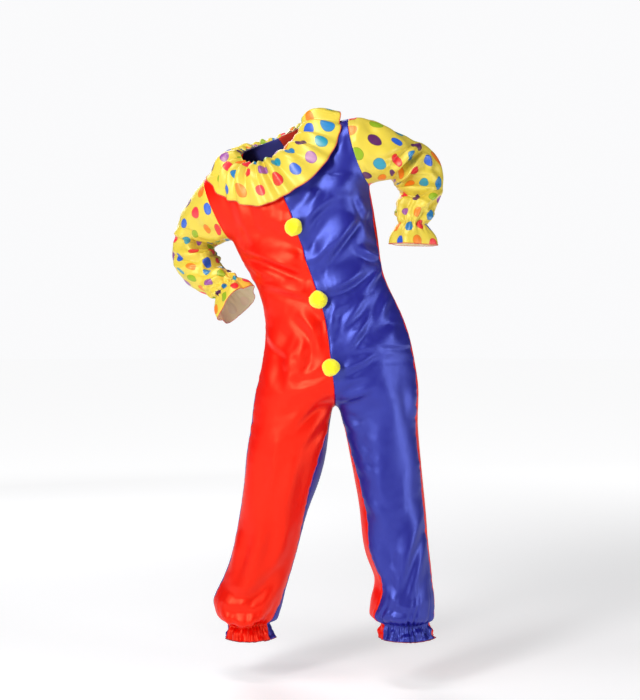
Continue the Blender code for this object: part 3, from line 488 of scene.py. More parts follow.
# and longer round the fork
forkGap = (points[:, 2] - easing["forkHeight"]) / easing["forkReach"]
forkShare = np.exp(-forkGap ** 2) * (np.arange(first) < bodyCount)
for step in range(easing["forkSteps"]):
    points += easing["share"] * forkShare[:, None] * (neighbourMean(points) - points)
baseNormal = normalsOf(points)

creases = dict(
    # ridges in the front view: from, by way of and to, in steps of the frame;
    # width and height in mm, a trough where the height is negative; lean makes the
    # flank away from the key light steeper
    front=table(
        "x0 y0 x1 y1 x2 y2 width height lean",
        # blue chest and waist
        (334, 197, 314, 212, 303, 231, 16, 10, 0.5), (356, 217, 344, 233, 319, 266, 18, 14, 0.6),
        (358, 195, 364, 211, 370, 216, 11, 7, -0.3), (358, 245, 367, 253, 380, 257, 11, 9, 0.3),
        (373, 262, 352, 279, 327, 291, 18, 12, 0.5), (366, 212, 373, 224, 376, 242, 15, -8, 0),
        (341, 172, 341, 184, 340, 196, 40, 9, 0), (345, 130, 343, 142, 339, 156, 12, 3, 0),
        (322, 190, 316, 198, 308, 206, 14, 5, 0.4), (331, 240, 320, 254, 311, 262, 12, 6, 0.4),
        (383, 262, 376, 275, 362, 292, 12, 7, 0.4), (352, 296, 342, 306, 332, 312, 14, 6, 0.3),
        (366, 296, 354, 312, 340, 332, 16, 8, 0.4), (392, 292, 384, 305, 380, 322, 12, 6, 0),
        (336, 300, 333, 316, 331, 334, 12, 5, 0),
        # blue hip and fork
        (372, 342, 392, 345, 413, 344, 15, 8, 1.0), (368, 318, 360, 331, 351, 345, 14, 5, 0.6),
        (367, 324, 356, 336, 348, 351, 18, 6, 0.4), (372, 346, 390, 349, 410, 347, 12, 4.5, -0.6),
        (349, 356, 363, 348, 380, 348, 12, 4.5, 0.4), (341, 371, 358, 364, 377, 351, 13, 6, 0.4),
        (395, 318, 392, 330, 388, 341, 19, 4.5, 0), (410, 322, 408, 333, 404, 343, 12, 2.5, 0),
        (337, 392, 350, 383, 367, 377, 12, 4.5, 0.3), (339, 399, 356, 396, 373, 387, 12, 5, 0.3),
        (340, 407, 351, 412, 364, 408, 12, 3.5, 0), (341, 414, 349, 424, 358, 430, 12, 4.5, 0),
        (340, 384, 346, 373, 352, 362, 12, 2.5, 0),
        # blue leg
        (384, 380, 392, 410, 394, 440, 29, 4.5, 0), (411, 385, 413, 402, 415, 420, 12, 4, 0),
        (378, 450, 381, 500, 386, 545, 33, 8, 0), (357, 462, 364, 470, 372, 474, 12, 3.5, 0),
        (352, 440, 360, 452, 366, 458, 12, 3, 0), (366, 493, 373, 507, 382, 518, 13, 4.5, 0),
        (420, 515, 409, 553, 395, 606, 17, 8, 0.4), (424, 540, 418, 570, 410, 598, 13, 4, 0),
        (367, 536, 380, 566, 391, 588, 15, 6, -0.3), (372, 560, 384, 585, 392, 604, 12, 3.5, 0),
        (402, 470, 404, 500, 402, 530, 21, 3.5, 0), (381, 614, 404, 621, 432, 614, 12, 4.5, 0),
        (396, 600, 408, 610, 426, 604, 12, 3.5, 0),
        # red chest and waist
        (244, 250, 277, 261, 304, 274, 18, 15.5, 0.5), (264, 283, 289, 290, 310, 296, 16, 11, 0.4),
        (298, 311, 310, 325, 318, 336, 15, 8, 0), (256, 196, 262, 208, 264, 222, 16, 4.5, 0),
        (270, 215, 282, 222, 300, 222, 16, 4.5, 0), (240, 215, 248, 232, 256, 244, 13, 4.5, 0),
        (300, 235, 306, 250, 312, 262, 13, 4, 0), (232, 185, 238, 205, 246, 222, 13, 4, 0),
        (285, 250, 300, 258, 314, 262, 11, 4, 0), (246, 262, 262, 272, 280, 276, 13, 5.5, 0.3),
        # red hip and fork
        (301, 341, 292, 357, 287, 372, 20, 7.5, 0), (268, 328, 276, 345, 290, 354, 14, 5.5, 0.4),
        (304, 337, 302, 356, 300, 376, 12, 4.5, 0), (312, 325, 316, 340, 322, 356, 12, 3.5, 0),
        (296, 360, 290, 376, 284, 392, 19, 4.5, 0), (262, 360, 268, 376, 272, 392, 19, 3.5, 0),
        (325, 362, 314, 372, 300, 378, 12, 3.5, 0), (331, 389, 316, 392, 298, 399, 19, 4.5, 0),
        (331, 396, 312, 406, 291, 429, 13, 6, 0.3), (334, 402, 319, 422, 301, 447, 14, 5.5, 0.3),
        (332, 410, 324, 432, 312, 455, 12, 3.5, 0), (330, 378, 312, 386, 290, 390, 13, 4.5, 0),
        # red leg
        (256, 440, 252, 480, 250, 520, 25, 7, 0), (277, 440, 273, 475, 272, 510, 20, 6, 0),
        (296, 455, 288, 490, 282, 530, 18, 7, 0), (262, 520, 258, 550, 248, 580, 20, 6, 0),
        (286, 520, 280, 548, 270, 575, 16, 6, 0), (240, 530, 236, 556, 228, 584, 13, 5.5, 0),
        (219, 606, 248, 622, 284, 582, 13, 13, 0.3), (224, 588, 250, 598, 284, 562, 15, -7, 0),
        (232, 616, 250, 622, 270, 612, 10, 6, 0), (214, 606, 224, 618, 240, 624, 10, 6, 0),
        (284, 590, 276, 606, 262, 620, 10, 4.5, 0)),
    back=table(
        "x0 y0 x1 y1 x2 y2 width height lean",
        (264, 199, 283, 224, 298, 255, 18, 12.5, 0.4), (342, 173, 335, 210, 320, 244, 18, 11, 0.4),
        (249, 266, 279, 278, 309, 284, 18, 12.5, 0.4), (368, 262, 350, 281, 324, 292, 17, 11, 0.3),
        (290, 170, 300, 190, 306, 215, 18, 6, 0), (355, 160, 348, 185, 350, 205, 16, 6, 0),
        (262, 290, 285, 297, 305, 306, 11, 7, 0), (380, 285, 360, 298, 335, 306, 11, 7, 0),
        (384, 300, 372, 318, 352, 330, 13, 5.5, 0), (279, 318, 298, 348, 313, 378, 22, 11, 0),
        (391, 329, 372, 359, 354, 385, 22, 11, 0), (262, 345, 285, 365, 312, 372, 20, 8, 0),
        (405, 345, 382, 366, 350, 374, 20, 8, 0), (264, 422, 286, 434, 313, 426, 25, 8, 0.5),
        (406, 419, 383, 434, 357, 428, 25, 8, 0.5), (331, 400, 312, 412, 290, 420, 11, 7, 0),
        (334, 408, 322, 430, 304, 452, 11, 7, 0), (341, 402, 358, 410, 380, 414, 11, 7, 0),
        (340, 412, 350, 432, 364, 450, 11, 7, 0), (264, 456, 272, 493, 260, 534, 25, 9.5, 0),
        (398, 456, 391, 501, 402, 545, 25, 9.5, 0), (250, 470, 268, 478, 288, 470, 10, 4.5, 0),
        (384, 480, 402, 488, 420, 478, 10, 4.5, 0), (246, 500, 262, 508, 282, 498, 10, 4.5, 0),
        (388, 510, 404, 516, 420, 508, 10, 4.5, 0), (236, 540, 246, 565, 250, 590, 16, 8, 0),
        (268, 540, 266, 562, 258, 585, 13, 7, 0), (398, 530, 396, 560, 392, 585, 16, 8, 0),
        (420, 540, 420, 565, 414, 590, 13, 7, 0), (219, 590, 246, 611, 275, 592, 17, 12.5, 0.4),
        (376, 586, 404, 605, 432, 588, 17, 12.5, 0.4)),
    sleeves=table(
        "x0 y0 x1 y1 x2 y2 width height lean",
        # right sleeve: shoulder, crook, the shelf over it and the folds down to the elastic
        (214, 188, 208, 205, 206, 225, 16, 4, 0), (200, 200, 190, 218, 184, 236, 15, 4.5, 0),
        (186, 222, 178, 236, 172, 250, 11, 5, 0), (172, 232, 184, 236, 194, 244, 8, 6, 0.3),
        (188, 232, 201, 247, 233, 240, 7, -14, 0), (196, 233, 210, 238, 230, 233, 9, 6, 0),
        (172, 249, 197, 258, 224, 247, 9, 12, 0.8), (166, 256, 184, 268, 206, 262, 10, 6, 0.3),
        (202, 269, 207, 260, 219, 259, 7, 9, 0.3), (216, 259, 225, 266, 214, 271, 7, 7, 0),
        (202, 277, 215, 273, 230, 272, 8, 9, 0.5), (228, 268, 234, 274, 235, 282, 7, 7, 0),
        (203, 292, 211, 282, 226, 276, 8, 9, 0.4), (196, 270, 204, 274, 212, 266, 7, -7, 0),
        (214, 288, 222, 286, 230, 280, 7, 6, 0), (206, 300, 214, 294, 222, 290, 7, 6, 0),
        (172, 278, 184, 288, 196, 292, 10, 5, 0), (184, 300, 194, 298, 204, 303, 9, 5, 0),
        (222, 278, 226, 284, 226, 292, 6, -6, 0),
        # left sleeve
        (362, 120, 358, 134, 352, 148, 15, 4, 0), (407, 145, 393, 151, 372, 158, 14, 6, 0.4),
        (376, 120, 386, 132, 398, 142, 14, 4, 0), (354, 156, 366, 168, 380, 176, 12, 4, 0),
        (389, 176, 402, 160, 422, 143, 9, 11, -0.4), (394, 178, 406, 166, 423, 148, 7, -15, 0),
        (397, 183, 407, 172, 418, 163, 9, 11, 0.3), (415, 165, 427, 157, 430, 172, 8, 8, 0),
        (394, 186, 408, 192, 440, 187, 9, 13, 0.9), (422, 172, 432, 176, 440, 180, 9, 5, 0),
        (400, 195, 414, 194, 428, 195, 8, -7, 0), (441, 192, 430, 200, 413, 217, 9, 10, 0.3),
        (412, 196, 408, 202, 404, 208, 7, -8, 0), (398, 198, 397, 206, 398, 214, 9, 6, 0),
        (416, 200, 424, 204, 428, 214, 8, 5, 0), (397, 213, 400, 218, 403, 222, 7, 6, 0),
        (432, 215, 428, 219, 424, 222, 7, 6, 0), (384, 168, 390, 166, 396, 164, 9, 4, 0)),
)


def inPicture(points):
    # Where the camera sees each point: x / (1 + y/d), in steps of the frame.
    near = 1.0 + points[:, 1] / camera["distance"]
    x = points[:, 0] / near
    z = camera["height"] + (points[:, 2] - camera["height"]) / near
    return np.stack([camera["middleX"] + x / camera["step"],
                     camera["floorY"] - z / camera["step"]], axis=1)


ridge = dict(
    places=33,                            # points of a bent line
    reach=3.4,                            # in widths, beyond which a ridge is left out
    # a line that goes this way in the frame has its shaded flank on the right
    lean=0.9, way=(0.8, -0.6),
    crest=1.7, side=0.38, sideAt=1.9, sideWidth=0.8,
    body=1.2, sleeves=1.35,               # all heights times this
)


def creaseHeight(spots, lines):
    # Each ridge: height * taper(q) * (exp(-|u|^crest) - side exp(-((|u|-sideAt)/sideWidth)^2)),
    # u = signed distance from a bent line over its width, times exp(lean) on its shaded
    # flank and exp(-lean) on the other; taper = sin(pi (0.06 + 0.88 q))^1.1.
    total = np.zeros(len(spots))
    q = np.linspace(0.0, 1.0, ridge["places"])[:, None]
    for k in range(len(lines["x0"])):
        a, b, c = (np.array((lines["x%d" % n][k], lines["y%d" % n][k])) for n in range(3))
        path = bend(a, 2 * b - 0.5 * (a + c), c, q)
        way = unit(np.gradient(path, axis=0))
        width = lines["width"][k] / camera["step"]
        low = path.min(axis=0) - ridge["reach"] * width
        high = path.max(axis=0) + ridge["reach"] * width
        near = np.flatnonzero(((spots > low) & (spots < high)).all(axis=1))
        gap = spots[near][:, None] - path[None]
        square = (gap ** 2).sum(axis=2)
        at = square.argmin(axis=1)
        pick = np.arange(len(near))
        side = way[at, 0] * gap[pick, at, 1] - way[at, 1] * gap[pick, at, 0]
        u = np.sqrt(square[pick, at]) * np.sign(side) / width
        shaded = np.sign(ridge["way"][0] * (c - a)[0] + ridge["way"][1] * (c - a)[1])
        u = u * np.exp(ridge["lean"] * lines["lean"][k] * shaded * np.sign(u))
        taper = np.sin(math.pi * (0.06 + 0.88 * q[at, 0])) ** 1.1
        off = np.abs(u)
        hollow = ridge["side"] * np.exp(-((off - ridge["sideAt"]) / ridge["sideWidth"]) ** 2)
        total[near] += lines["height"][k] * taper * (np.exp(-off ** ridge["crest"]) - hollow)
    return total


print("stage: folds")
spots = inPicture(points)
towardCamera = smooth((-baseNormal[:, 1] - 0.05) / 0.5)
away = smooth((baseNormal[:, 1] - 0.05) / 0.5)
isBody = np.zeros(first, dtype=bool)
for name in panelOf.values():
    isBody[gridIds[name]] = True
isSleeve = np.zeros(first, dtype=bool)
for name in ("sleeveRight", "sleeveLeft"):
    isSleeve[gridIds[name][1:]] = True

height = np.zeros(first)
height[isBody] = ridge["body"] * (creaseHeight(spots[isBody], creases["front"]) * towardCamera[isBody]
                                  + creaseHeight(spots[isBody], creases["back"]) * away[isBody])
height[isSleeve] = (ridge["sleeves"] * creaseHeight(spots[isSleeve], creases["sleeves"])
                    * towardCamera[isSleeve])

# flat places round the pompoms
pompom = dict(
    radius=25.0, seat=0.74,               # sewn on at this share of the radius
    rings=96, sides=128, facets=46,
    soft=26.0,                            # how sharply the facets meet
    levels=dict(pompomUpper=1254, pompomMiddle=1061, pompomLower=880),
)
seamIds = gridIds["frontRed"][forkRow:frontTop, -1]
for level in pompom["levels"].values():
    spot = points[seamIds[np.abs(points[seamIds, 2] - level).argmin()]]
    height *= 1.0 - 0.85 * np.exp(-(np.linalg.norm(points - spot, axis=1) / 32.0) ** 4)
# the armholes stay smooth
for side in ("right", "left"):
    centre = body[side + "Hole"][0]
    hole = points[holeIds[side]]
    gap = np.full(first, 200.0)
    near = np.flatnonzero(np.linalg.norm(points - centre, axis=1) < 160.0)
    gap[near] = np.sqrt(((points[near][:, None] - hole[None, ::2]) ** 2).sum(axis=2).min(axis=1))
    height *= smooth(gap / 22.0) * 0.9 + 0.1

# folds that run round the sleeves
for name in ("sleeveRight", "sleeveLeft"):
    ids = gridIds[name]
    rows = len(ids) - sleeve["cuffRows"]
    along = finePlaces(sleeve["rows"])[:, None] / len(sleeve["rows"])
    angle = (180.0 - 360.0 * np.arange(sleeveColumns) / sleeveColumns)[None, :]
    amount = np.zeros((rows, sleeveColumns))
    for k in range(len(sleeve["folds"]["at"])):
        fold = {key: column[k] for key, column in sleeve["folds"].items()}
        turn = (angle + fold["angle"] + 180.0) % 360.0 - 180.0
        place = fold["at"] + fold["slant"] * turn / 90.0
        taper = np.clip(1.0 - (turn / fold["reach"]) ** 2, 0.0, 1.0)
        size = (along - place) / fold["width"]
        amount += fold["height"] * taper * (np.exp(-size**2) - 0.4 * np.exp(-(size - 1.8) ** 2))
    apart = np.linalg.norm(np.gradient(points[ids[:rows]], axis=0), axis=2)
    amount *= np.clip(apart / 3.0 - 0.3, 0.0, 1.0) * smooth(along / 0.1) * smooth((1 - along) / 0.05)
    height[ids[1:rows]] += (amount * (1.0 - 0.85 * towardCamera[ids[:rows]]))[1:]

largeHeight = height
height = np.zeros(first)

# gathers at the wrists and ankles, and the waves of their ruffles
gathers = dict(
    wrist=22, wristHeight=3.2, ankle=26, ankleHeight=3.4,      # pleats and their height, mm
    broadWrist=11, broadAnkle=13, broadHeight=4.0,             # wider ones that run on
    hemWaves=5, hemHeight=5.5, crumple=2.6,
)


def gatherWave(turn, count, seed):
    # Uneven pleats round an elastic: cos(n turn + drift(turn)) with sharpened ridges.
    draw = np.random.default_rng(seed)
    drift = sum(draw.uniform(0.3, 1.1) * np.sin(n * turn + draw.uniform(0, 6.3)) for n in range(2, 8))
    swell = (1.0 + 0.35 * np.sin(3 * turn + draw.uniform(0, 6.3))
             + 0.25 * np.sin(5 * turn + draw.uniform(0, 6.3)))
    wave = np.cos(count * turn + drift)
    return swell * (wave - 0.25 * np.cos(2 * (count * turn + drift)))


for seed, name in enumerate(("sleeveRight", "sleeveLeft")):
    ids = gridIds[name]
    rows = len(ids) - sleeve["cuffRows"]
    turn = 2.0 * math.pi * np.arange(sleeveColumns) / sleeveColumns
    run = runAlong(points[ids].mean(axis=1))
    run = (run - run[rows - 1])[:, None]                      # below zero up the sleeve
    pleat = gatherWave(turn, gathers["wrist"], 5 + seed)[None, :]
    broad = gatherWave(turn, gathers["broadWrist"], 15 + seed)[None, :]
    up = np.exp(-(run / 16.0) ** 2) * pleat * gathers["wristHeight"]
    up += np.where(run < 0, np.exp(run / 38.0) * smooth(-run / 14.0), 0.0) * broad * gathers["broadHeight"]
    down = smooth(run / 40.0)
    sway = gathers["hemWaves"] * turn + 0.6 + 0.8 * np.sin(2 * turn + seed)
    hem = down * (gathers["hemHeight"] * np.cos(sway) + 0.8 * broad)
    height[ids[1:]] += (up + hem)[1:]

for seed, (front, back) in enumerate((("frontRed", "backBlue"), ("frontBlue", "backRed"))):
    # columns run round the leg: front from the side seam in, back from the inseam out
    ids = np.concatenate([gridIds[front][:60], gridIds[back][:60, -2:0:-1]], axis=1)
    turn = 2.0 * math.pi * np.arange(ids.shape[1]) / ids.shape[1]
    level = points[ids].mean(axis=1)[:, 2]
    run = (level - level[10])[:, None]                        # above the elastic
    pleat = gatherWave(turn, gathers["ankle"], 35 + seed)[None, :]
    broad = gatherWave(turn, gathers["broadAnkle"], 45 + seed)[None, :]
    amount = np.exp(-(run / 15.0) ** 2) * pleat * gathers["ankleHeight"]
    above = np.where(run > 0, np.exp(-run / 36.0) * smooth(run / 14.0), 0.0)
    amount += above * broad * gathers["broadHeight"]
    crumple = ripple(points[ids].reshape(-1, 3), 36.0, 55 + seed, stretch=(1.0, 1.0, 0.6)).reshape(ids.shape)
    ruffle = broad * gathers["broadHeight"] + pleat * 1.2 + crumple * gathers["crumple"]
    amount += np.where(run < 0, smooth(-run / 24.0), 0.0) * ruffle
    height[ids] += amount

# small puckers along the long seams, and a groove in which they sit
for name in panelOf.values():
    ids = gridIds[name]
    grid = points[ids]
    across = runAcross(grid)
    for edge, gap in ((0, across), (-1, across[:, -1:] - across)):
        line = grid[:, edge]
        run = runAlong(line)
        place = np.stack([run, 0 * run, 0 * run + 40.0 * edge], axis=1)
        pucker = (ripple(place, 26.0, 71) + 0.6 * ripple(place, 13.0, 72))[:, None]
        rows = np.arange(len(grid))[:, None]
        fade = smooth((rows - 14.0) / 10.0) * smooth((lowerCount - 6.0 - rows) / 20.0)
        groove = np.exp(-(gap / 3.2) ** 2)
        height[ids] += fade * (0.9 * pucker * np.exp(-(gap / 13.0) ** 2) - 0.9 * groove) * 0.5

# uneven, hardly seen hollows all over
largeHeight += hold * (1.5 * ripple(points, 150.0, 3, stretch=(1.0, 1.0, 3.5))
                       + 0.35 * ripple(points, 70.0, 4, stretch=(1.0, 1.0, 2.5)))
height += hold * 0.10 * ripple(points, 30.0, 6)
for name in ("sleeveRight", "sleeveLeft"):
    ids = gridIds[name][6:-sleeve["cuffRows"]]
    largeHeight[ids] += 0.9 * ripple(points[ids].reshape(-1, 3), 48.0, 8).reshape(ids.shape)


def makeMesh(name, points, faces, uv=None):
    # An object at the origin with its place in its mesh; uv holds a pair for every corner.
    mesh = bpy.data.meshes.new(name)
    mesh.from_pydata(points, [], faces)
    if uv is not None:
        layer = mesh.uv_layers.new(name="flatCut")
        layer.data.foreach_set("uv", np.ascontiguousarray(uv, dtype=np.float32).ravel())
    mesh.shade_smooth()
    piece = bpy.data.objects.new(name, mesh)
    bpy.context.scene.collection.objects.link(piece)
    return piece


worn = points + baseNormal * largeHeight[:, None]
worn += normalsOf(worn) * height[:, None]
for step in range(easing["foldSteps"]):
    worn += easing["foldShare"] * (neighbourMean(worn) - worn) * isBody[:, None]
wornNormal = normalsOf(worn)

collar = dict(
    columns=448, rows=40, gathers=24,
    centre=np.array((-126.0, 6.0, 1487.0)), half=np.array((180.0, -54.0, 80.0)),
    front=np.array((36.0, -146.0, -152.0)), back=np.array((15.0, 150.0, -52.0)),
    tip=112.0, tipWidth=16.0, tipLength=11.0,       # lowest corner of the hem
    arch=26.0, wave=11.0, clearance=3.0,
    flatWidth=1.16, flatLength=0.135,
)


def collarGrid():
    # ring + run s + out (lift + arch + wave): from the neckline to a scalloped hem,
    # s = (i/n)^1.25, wave = |sin(phase/2)|^0.9 at the neck and its square at the hem.
    count = collar["columns"]
    turn = 2.0 * math.pi * np.arange(count) / count
    face = np.where(turn < math.pi, 1, -1)
    off = np.abs((np.degrees(turn) % 180.0) - 90.0) / 90.0
    ring, lift = np.zeros((count, 3)), np.zeros((count, 3))
    for name, side, way in (("frontBlue", "left", 1), ("frontRed", "right", 1),
                            ("backRed", "left", -1), ("backBlue", "right", -1)):
        own = (face == way) & (((turn < math.pi / 2) | (turn >= 1.5 * math.pi)) == (side == "left"))
        top = frontTop if way > 0 else backTop
        line = gridIds[name][top:, -1]
        at = off[own] * (len(line) - 1)
        low = np.minimum(at.astype(int), len(line) - 2)
        part = (at - low)[:, None]
        ring[own] = worn[line[low]] * (1 - part) + worn[line[low + 1]] * part
        lift[own] = wornNormal[line[low]] * (1 - part) + wornNormal[line[low + 1]] * part
    sine = np.sin(turn)[:, None]
    reach = np.where(sine > 0, collar["front"], collar["back"])
    hem = collar["centre"] + np.cos(turn)[:, None] * collar["half"] + reach * np.abs(sine)
    nearTip = np.exp(-((np.degrees(turn) - collar["tip"]) / collar["tipWidth"]) ** 2)
    hem += unit(collar["front"]) * (collar["tipLength"] * nearTip)[:, None]
    run = hem - ring
    out = unit(np.cross(run, np.roll(ring, -1, axis=0) - np.roll(ring, 1, axis=0)))
    out *= np.sign(out[:, 2:3])
    phase = collar["gathers"] * turn + 1.5 * np.sin(3 * turn) + 0.7 * np.sin(7 * turn + 1.0)
    deep = (1.0 + 0.24 * np.sin(5 * turn + 0.7) + 0.18 * np.sin(9 * turn)
            + 0.15 * np.sin(0.5 * phase + 1.0))
    fine = 0.5 + 0.5 * np.cos(2.0 * phase + 1.3 + 0.8 * np.sin(4 * turn))
    i = np.linspace(0.0, 1.0, collar["rows"] + 1)[:, None]
    s = i ** 1.25
    # narrow valleys at the neck, even waves at the hem
    wave = np.abs(np.sin(0.5 * phase))
    wave = wave ** 0.9 + (wave ** 2 - wave ** 0.9) * smooth((s - 0.15) / 0.7)
    deep = deep * (1.0 - 0.27 * smooth((s - 0.4) / 0.6) * (1.0 + np.sin(0.5 * phase + 1.0)))
    arch = collar["arch"] * np.sin(math.pi * s) ** 0.8 * (1 - 0.35 * s)
    size = collar["wave"] * (0.62 + 0.5 * np.sin(math.pi * np.minimum(1.0, 0.12 + 1.0 * s)))
    lifted = 2.4 + arch + wave * deep * size * 1.35 + fine * 2.0 * np.exp(-s / 0.2)
    # the hem reaches out at the ridges
    reachOut = 1.0 + 0.07 * s ** 3 * (wave - 0.5) * deep
    grid = ring + run * (s * reachOut)[..., None] + out * lifted[..., None]
    start = ring + lift * (1.9 + wave[0] * collar["wave"] * 0.5)[:, None]
    grid[0] = start
    blend = smooth(i / 0.12)[..., None]
    return grid * blend + (start + run * s[..., None]) * (1 - blend), turn


print("stage: meshes")


def cellCorners(u, v, flip):
    # The flat-cut place of each cell's four corners, metres; u has one more column than cells.
    corners = [np.stack([u[:-1, :-1], v[:-1, :-1]], axis=2), np.stack([u[:-1, 1:], v[:-1, 1:]], axis=2),
               np.stack([u[1:, 1:], v[1:, 1:]], axis=2), np.stack([u[1:, :-1], v[1:, :-1]], axis=2)]
    if flip:
        corners = corners[::-1]
    return np.stack(corners, axis=2).reshape(-1, 4, 2)


def clothPiece(name, u, v, materials):
    ids = gridIds[name]
    faces = clothFaces[name]
    flip = not np.array_equal(faces[0], quadFaces(ids, name.startswith("sleeve"))[0])
    used, where = np.unique(faces, return_inverse=True)
    piece = makeMesh(name, toFrame(worn[used]), where.reshape(-1, 4), cellCorners(u, v, flip))
    return finishCloth(piece, materials)


def finishCloth(piece, materials):
    for material in materials:
        piece.data.materials.append(material)
    wall = piece.modifiers.new("wall", "SOLIDIFY")
    wall.thickness = body["wall"]
    wall.offset = -1.0
    wall.material_offset = 1
    wall.material_offset_rim = 1
    return piece


def node(tree, kind, **settings):
    made = tree.nodes.new(kind)
    for key, value in settings.items():
        setattr(made, key, value)
    return made


def wire(tree, source, target):
    tree.links.new(source, target)


def settle(made, **values):
    # Plain values on a node's own sockets, whose names are written as one word.
    names = {socket.name.replace(" ", ""): socket.name for socket in made.inputs}
    for key, value in values.items():
        made.inputs[names[key]].default_value = value


def newMaterial(name):
    material = bpy.data.materials.new(name)
    material.use_nodes = True
    tree = material.node_tree
    return material, tree, tree.nodes["Principled BSDF"]


def clothPlace(tree, scale, offset=(0.0, 0.0, 0.0)):
    # Flat-cut coordinates in metres, times scale and moved by offset.
    uv = node(tree, "ShaderNodeUVMap", uv_map="flatCut")
    mapping = node(tree, "ShaderNodeMapping")
    settle(mapping, Location=offset, Scale=scale)
    wire(tree, uv.outputs["UV"], mapping.inputs["Vector"])
    return mapping.outputs["Vector"]


def objectPlace(tree):
    return node(tree, "ShaderNodeTexCoord").outputs["Object"]


def plainColour(tree, colour):
    made = node(tree, "ShaderNodeRGB")
    made.outputs[0].default_value = colour + (1.0,)
    return made.outputs[0]


def bumpNormal(tree, height, strength, distance, over=None):
    # Normal of a bump, distance in metres, laid over another one where that is given.
    made = node(tree, "ShaderNodeBump")
    settle(made, Strength=strength, Distance=distance)
    wire(tree, height, made.inputs["Height"])
    if over is not None:
        wire(tree, over, made.inputs["Normal"])
    return made.outputs["Normal"]


def noiseOf(tree, place, scale, detail):
    texture = node(tree, "ShaderNodeTexNoise", noise_dimensions="3D")
    settle(texture, Scale=scale, Detail=detail)
    wire(tree, place, texture.inputs["Vector"])
    return texture.outputs["Fac"]


def spread(tree, value, low, high):
    remap = node(tree, "ShaderNodeMapRange")
    settle(remap, ToMin=low, ToMax=high)
    wire(tree, value, remap.inputs["Value"])
    return remap.outputs["Result"]


def mixColours(tree, share, a, b, blend="MIX"):
    mix = node(tree, "ShaderNodeMix", data_type="RGBA", blend_type=blend)
    if isinstance(share, float):
        mix.inputs["Factor"].default_value = share
    else:
        wire(tree, share, mix.inputs["Factor"])
    for key, value in (("A", a), ("B", b)):
        socket = [s for s in mix.inputs if s.name == key and s.type == "RGBA"][0]
        if isinstance(value, tuple):
            socket.default_value = value + (1.0,)
        else:
            wire(tree, value, socket)
    return [s for s in mix.outputs if s.type == "RGBA"][0]


satinLook = dict(
    roughness=0.37, roughnessSpread=0.03, anisotropic=0.5,
    plain=(1.9, 1.0), printed=(1.56, 0.82),        # IOR and specular level
    printedGleam=(1.0, 0.93, 0.55),
)


def satinSurface(tree, shader, colour, gleam, strength):
    # Long fine floats of the weave, soft crush marks, and slightly uneven gloss.
    place = objectPlace(tree)
    floats = noiseOf(tree, clothPlace(tree, (2600.0, 90.0, 1.0)), 1.0, 2.0)
    crush = noiseOf(tree, place, 34.0, 3.0)
    tone = noiseOf(tree, place, 5.0, 2.0)
    lighter = mixColours(tree, spread(tree, floats, 0.0, 0.10), colour, (1.0, 1.0, 1.0), "SOFT_LIGHT")
    uneven = node(tree, "ShaderNodeHueSaturation")
    wire(tree, lighter, uneven.inputs["Color"])
    wire(tree, spread(tree, tone, 0.90, 1.08), uneven.inputs["Value"])
    wire(tree, uneven.outputs["Color"], shader.inputs["Base Color"])
    least = satinLook["roughness"] - satinLook["roughnessSpread"]
    most = satinLook["roughness"] + satinLook["roughnessSpread"]
    gloss = maths(tree, "ADD", spread(tree, crush, -0.035, 0.035), spread(tree, floats, least, most))
    wire(tree, gloss, shader.inputs["Roughness"])
    crushed = bumpNormal(tree, crush, 0.3, 0.0010)
    wire(tree, bumpNormal(tree, floats, 0.35, 0.00008, crushed), shader.inputs["Normal"])
    settle(shader, IOR=strength[0], SpecularIORLevel=strength[1], SpecularTint=gleam + (1.0,),
           Anisotropic=satinLook["anisotropic"])
    tangent = node(tree, "ShaderNodeTangent", direction_type="UV_MAP", uv_map="flatCut")
    wire(tree, tangent.outputs["Tangent"], shader.inputs["Tangent"])


def satin(name, colour, gleam):
    material, tree, shader = newMaterial(name)
    satinSurface(tree, shader, plainColour(tree, colour), gleam, satinLook["plain"])
    return material


dots = dict(
    across=0.056, down=0.049,          # from dot to dot and from row to row, m
    scatter=0.13, smallest=0.235, largest=0.30,   # in steps across
    ground=(0.73, 0.56, 0.055),
    colours=((0.88, 0.022, 0.055), (0.004, 0.28, 0.42), (0.90, 0.20, 0.012), (0.30, 0.065, 0.34),
             (0.014, 0.11, 0.60), (0.26, 0.42, 0.010), (0.76, 0.012, 0.030), (0.10, 0.012, 0.11),
             (0.010, 0.20, 0.50)),
)


def maths(tree, operation, *values):
    # A Math node on numbers and sockets.
    made = node(tree, "ShaderNodeMath", operation=operation)
    for socket, value in zip(made.inputs, values):
        if isinstance(value, float):
            socket.default_value = value
        else:
            wire(tree, value, socket)
    return made.outputs["Value"]


def joined(tree, x, y):
    made = node(tree, "ShaderNodeCombineXYZ")
    wire(tree, x, made.inputs["X"])
    wire(tree, y, made.inputs["Y"])
    return made.outputs["Vector"]


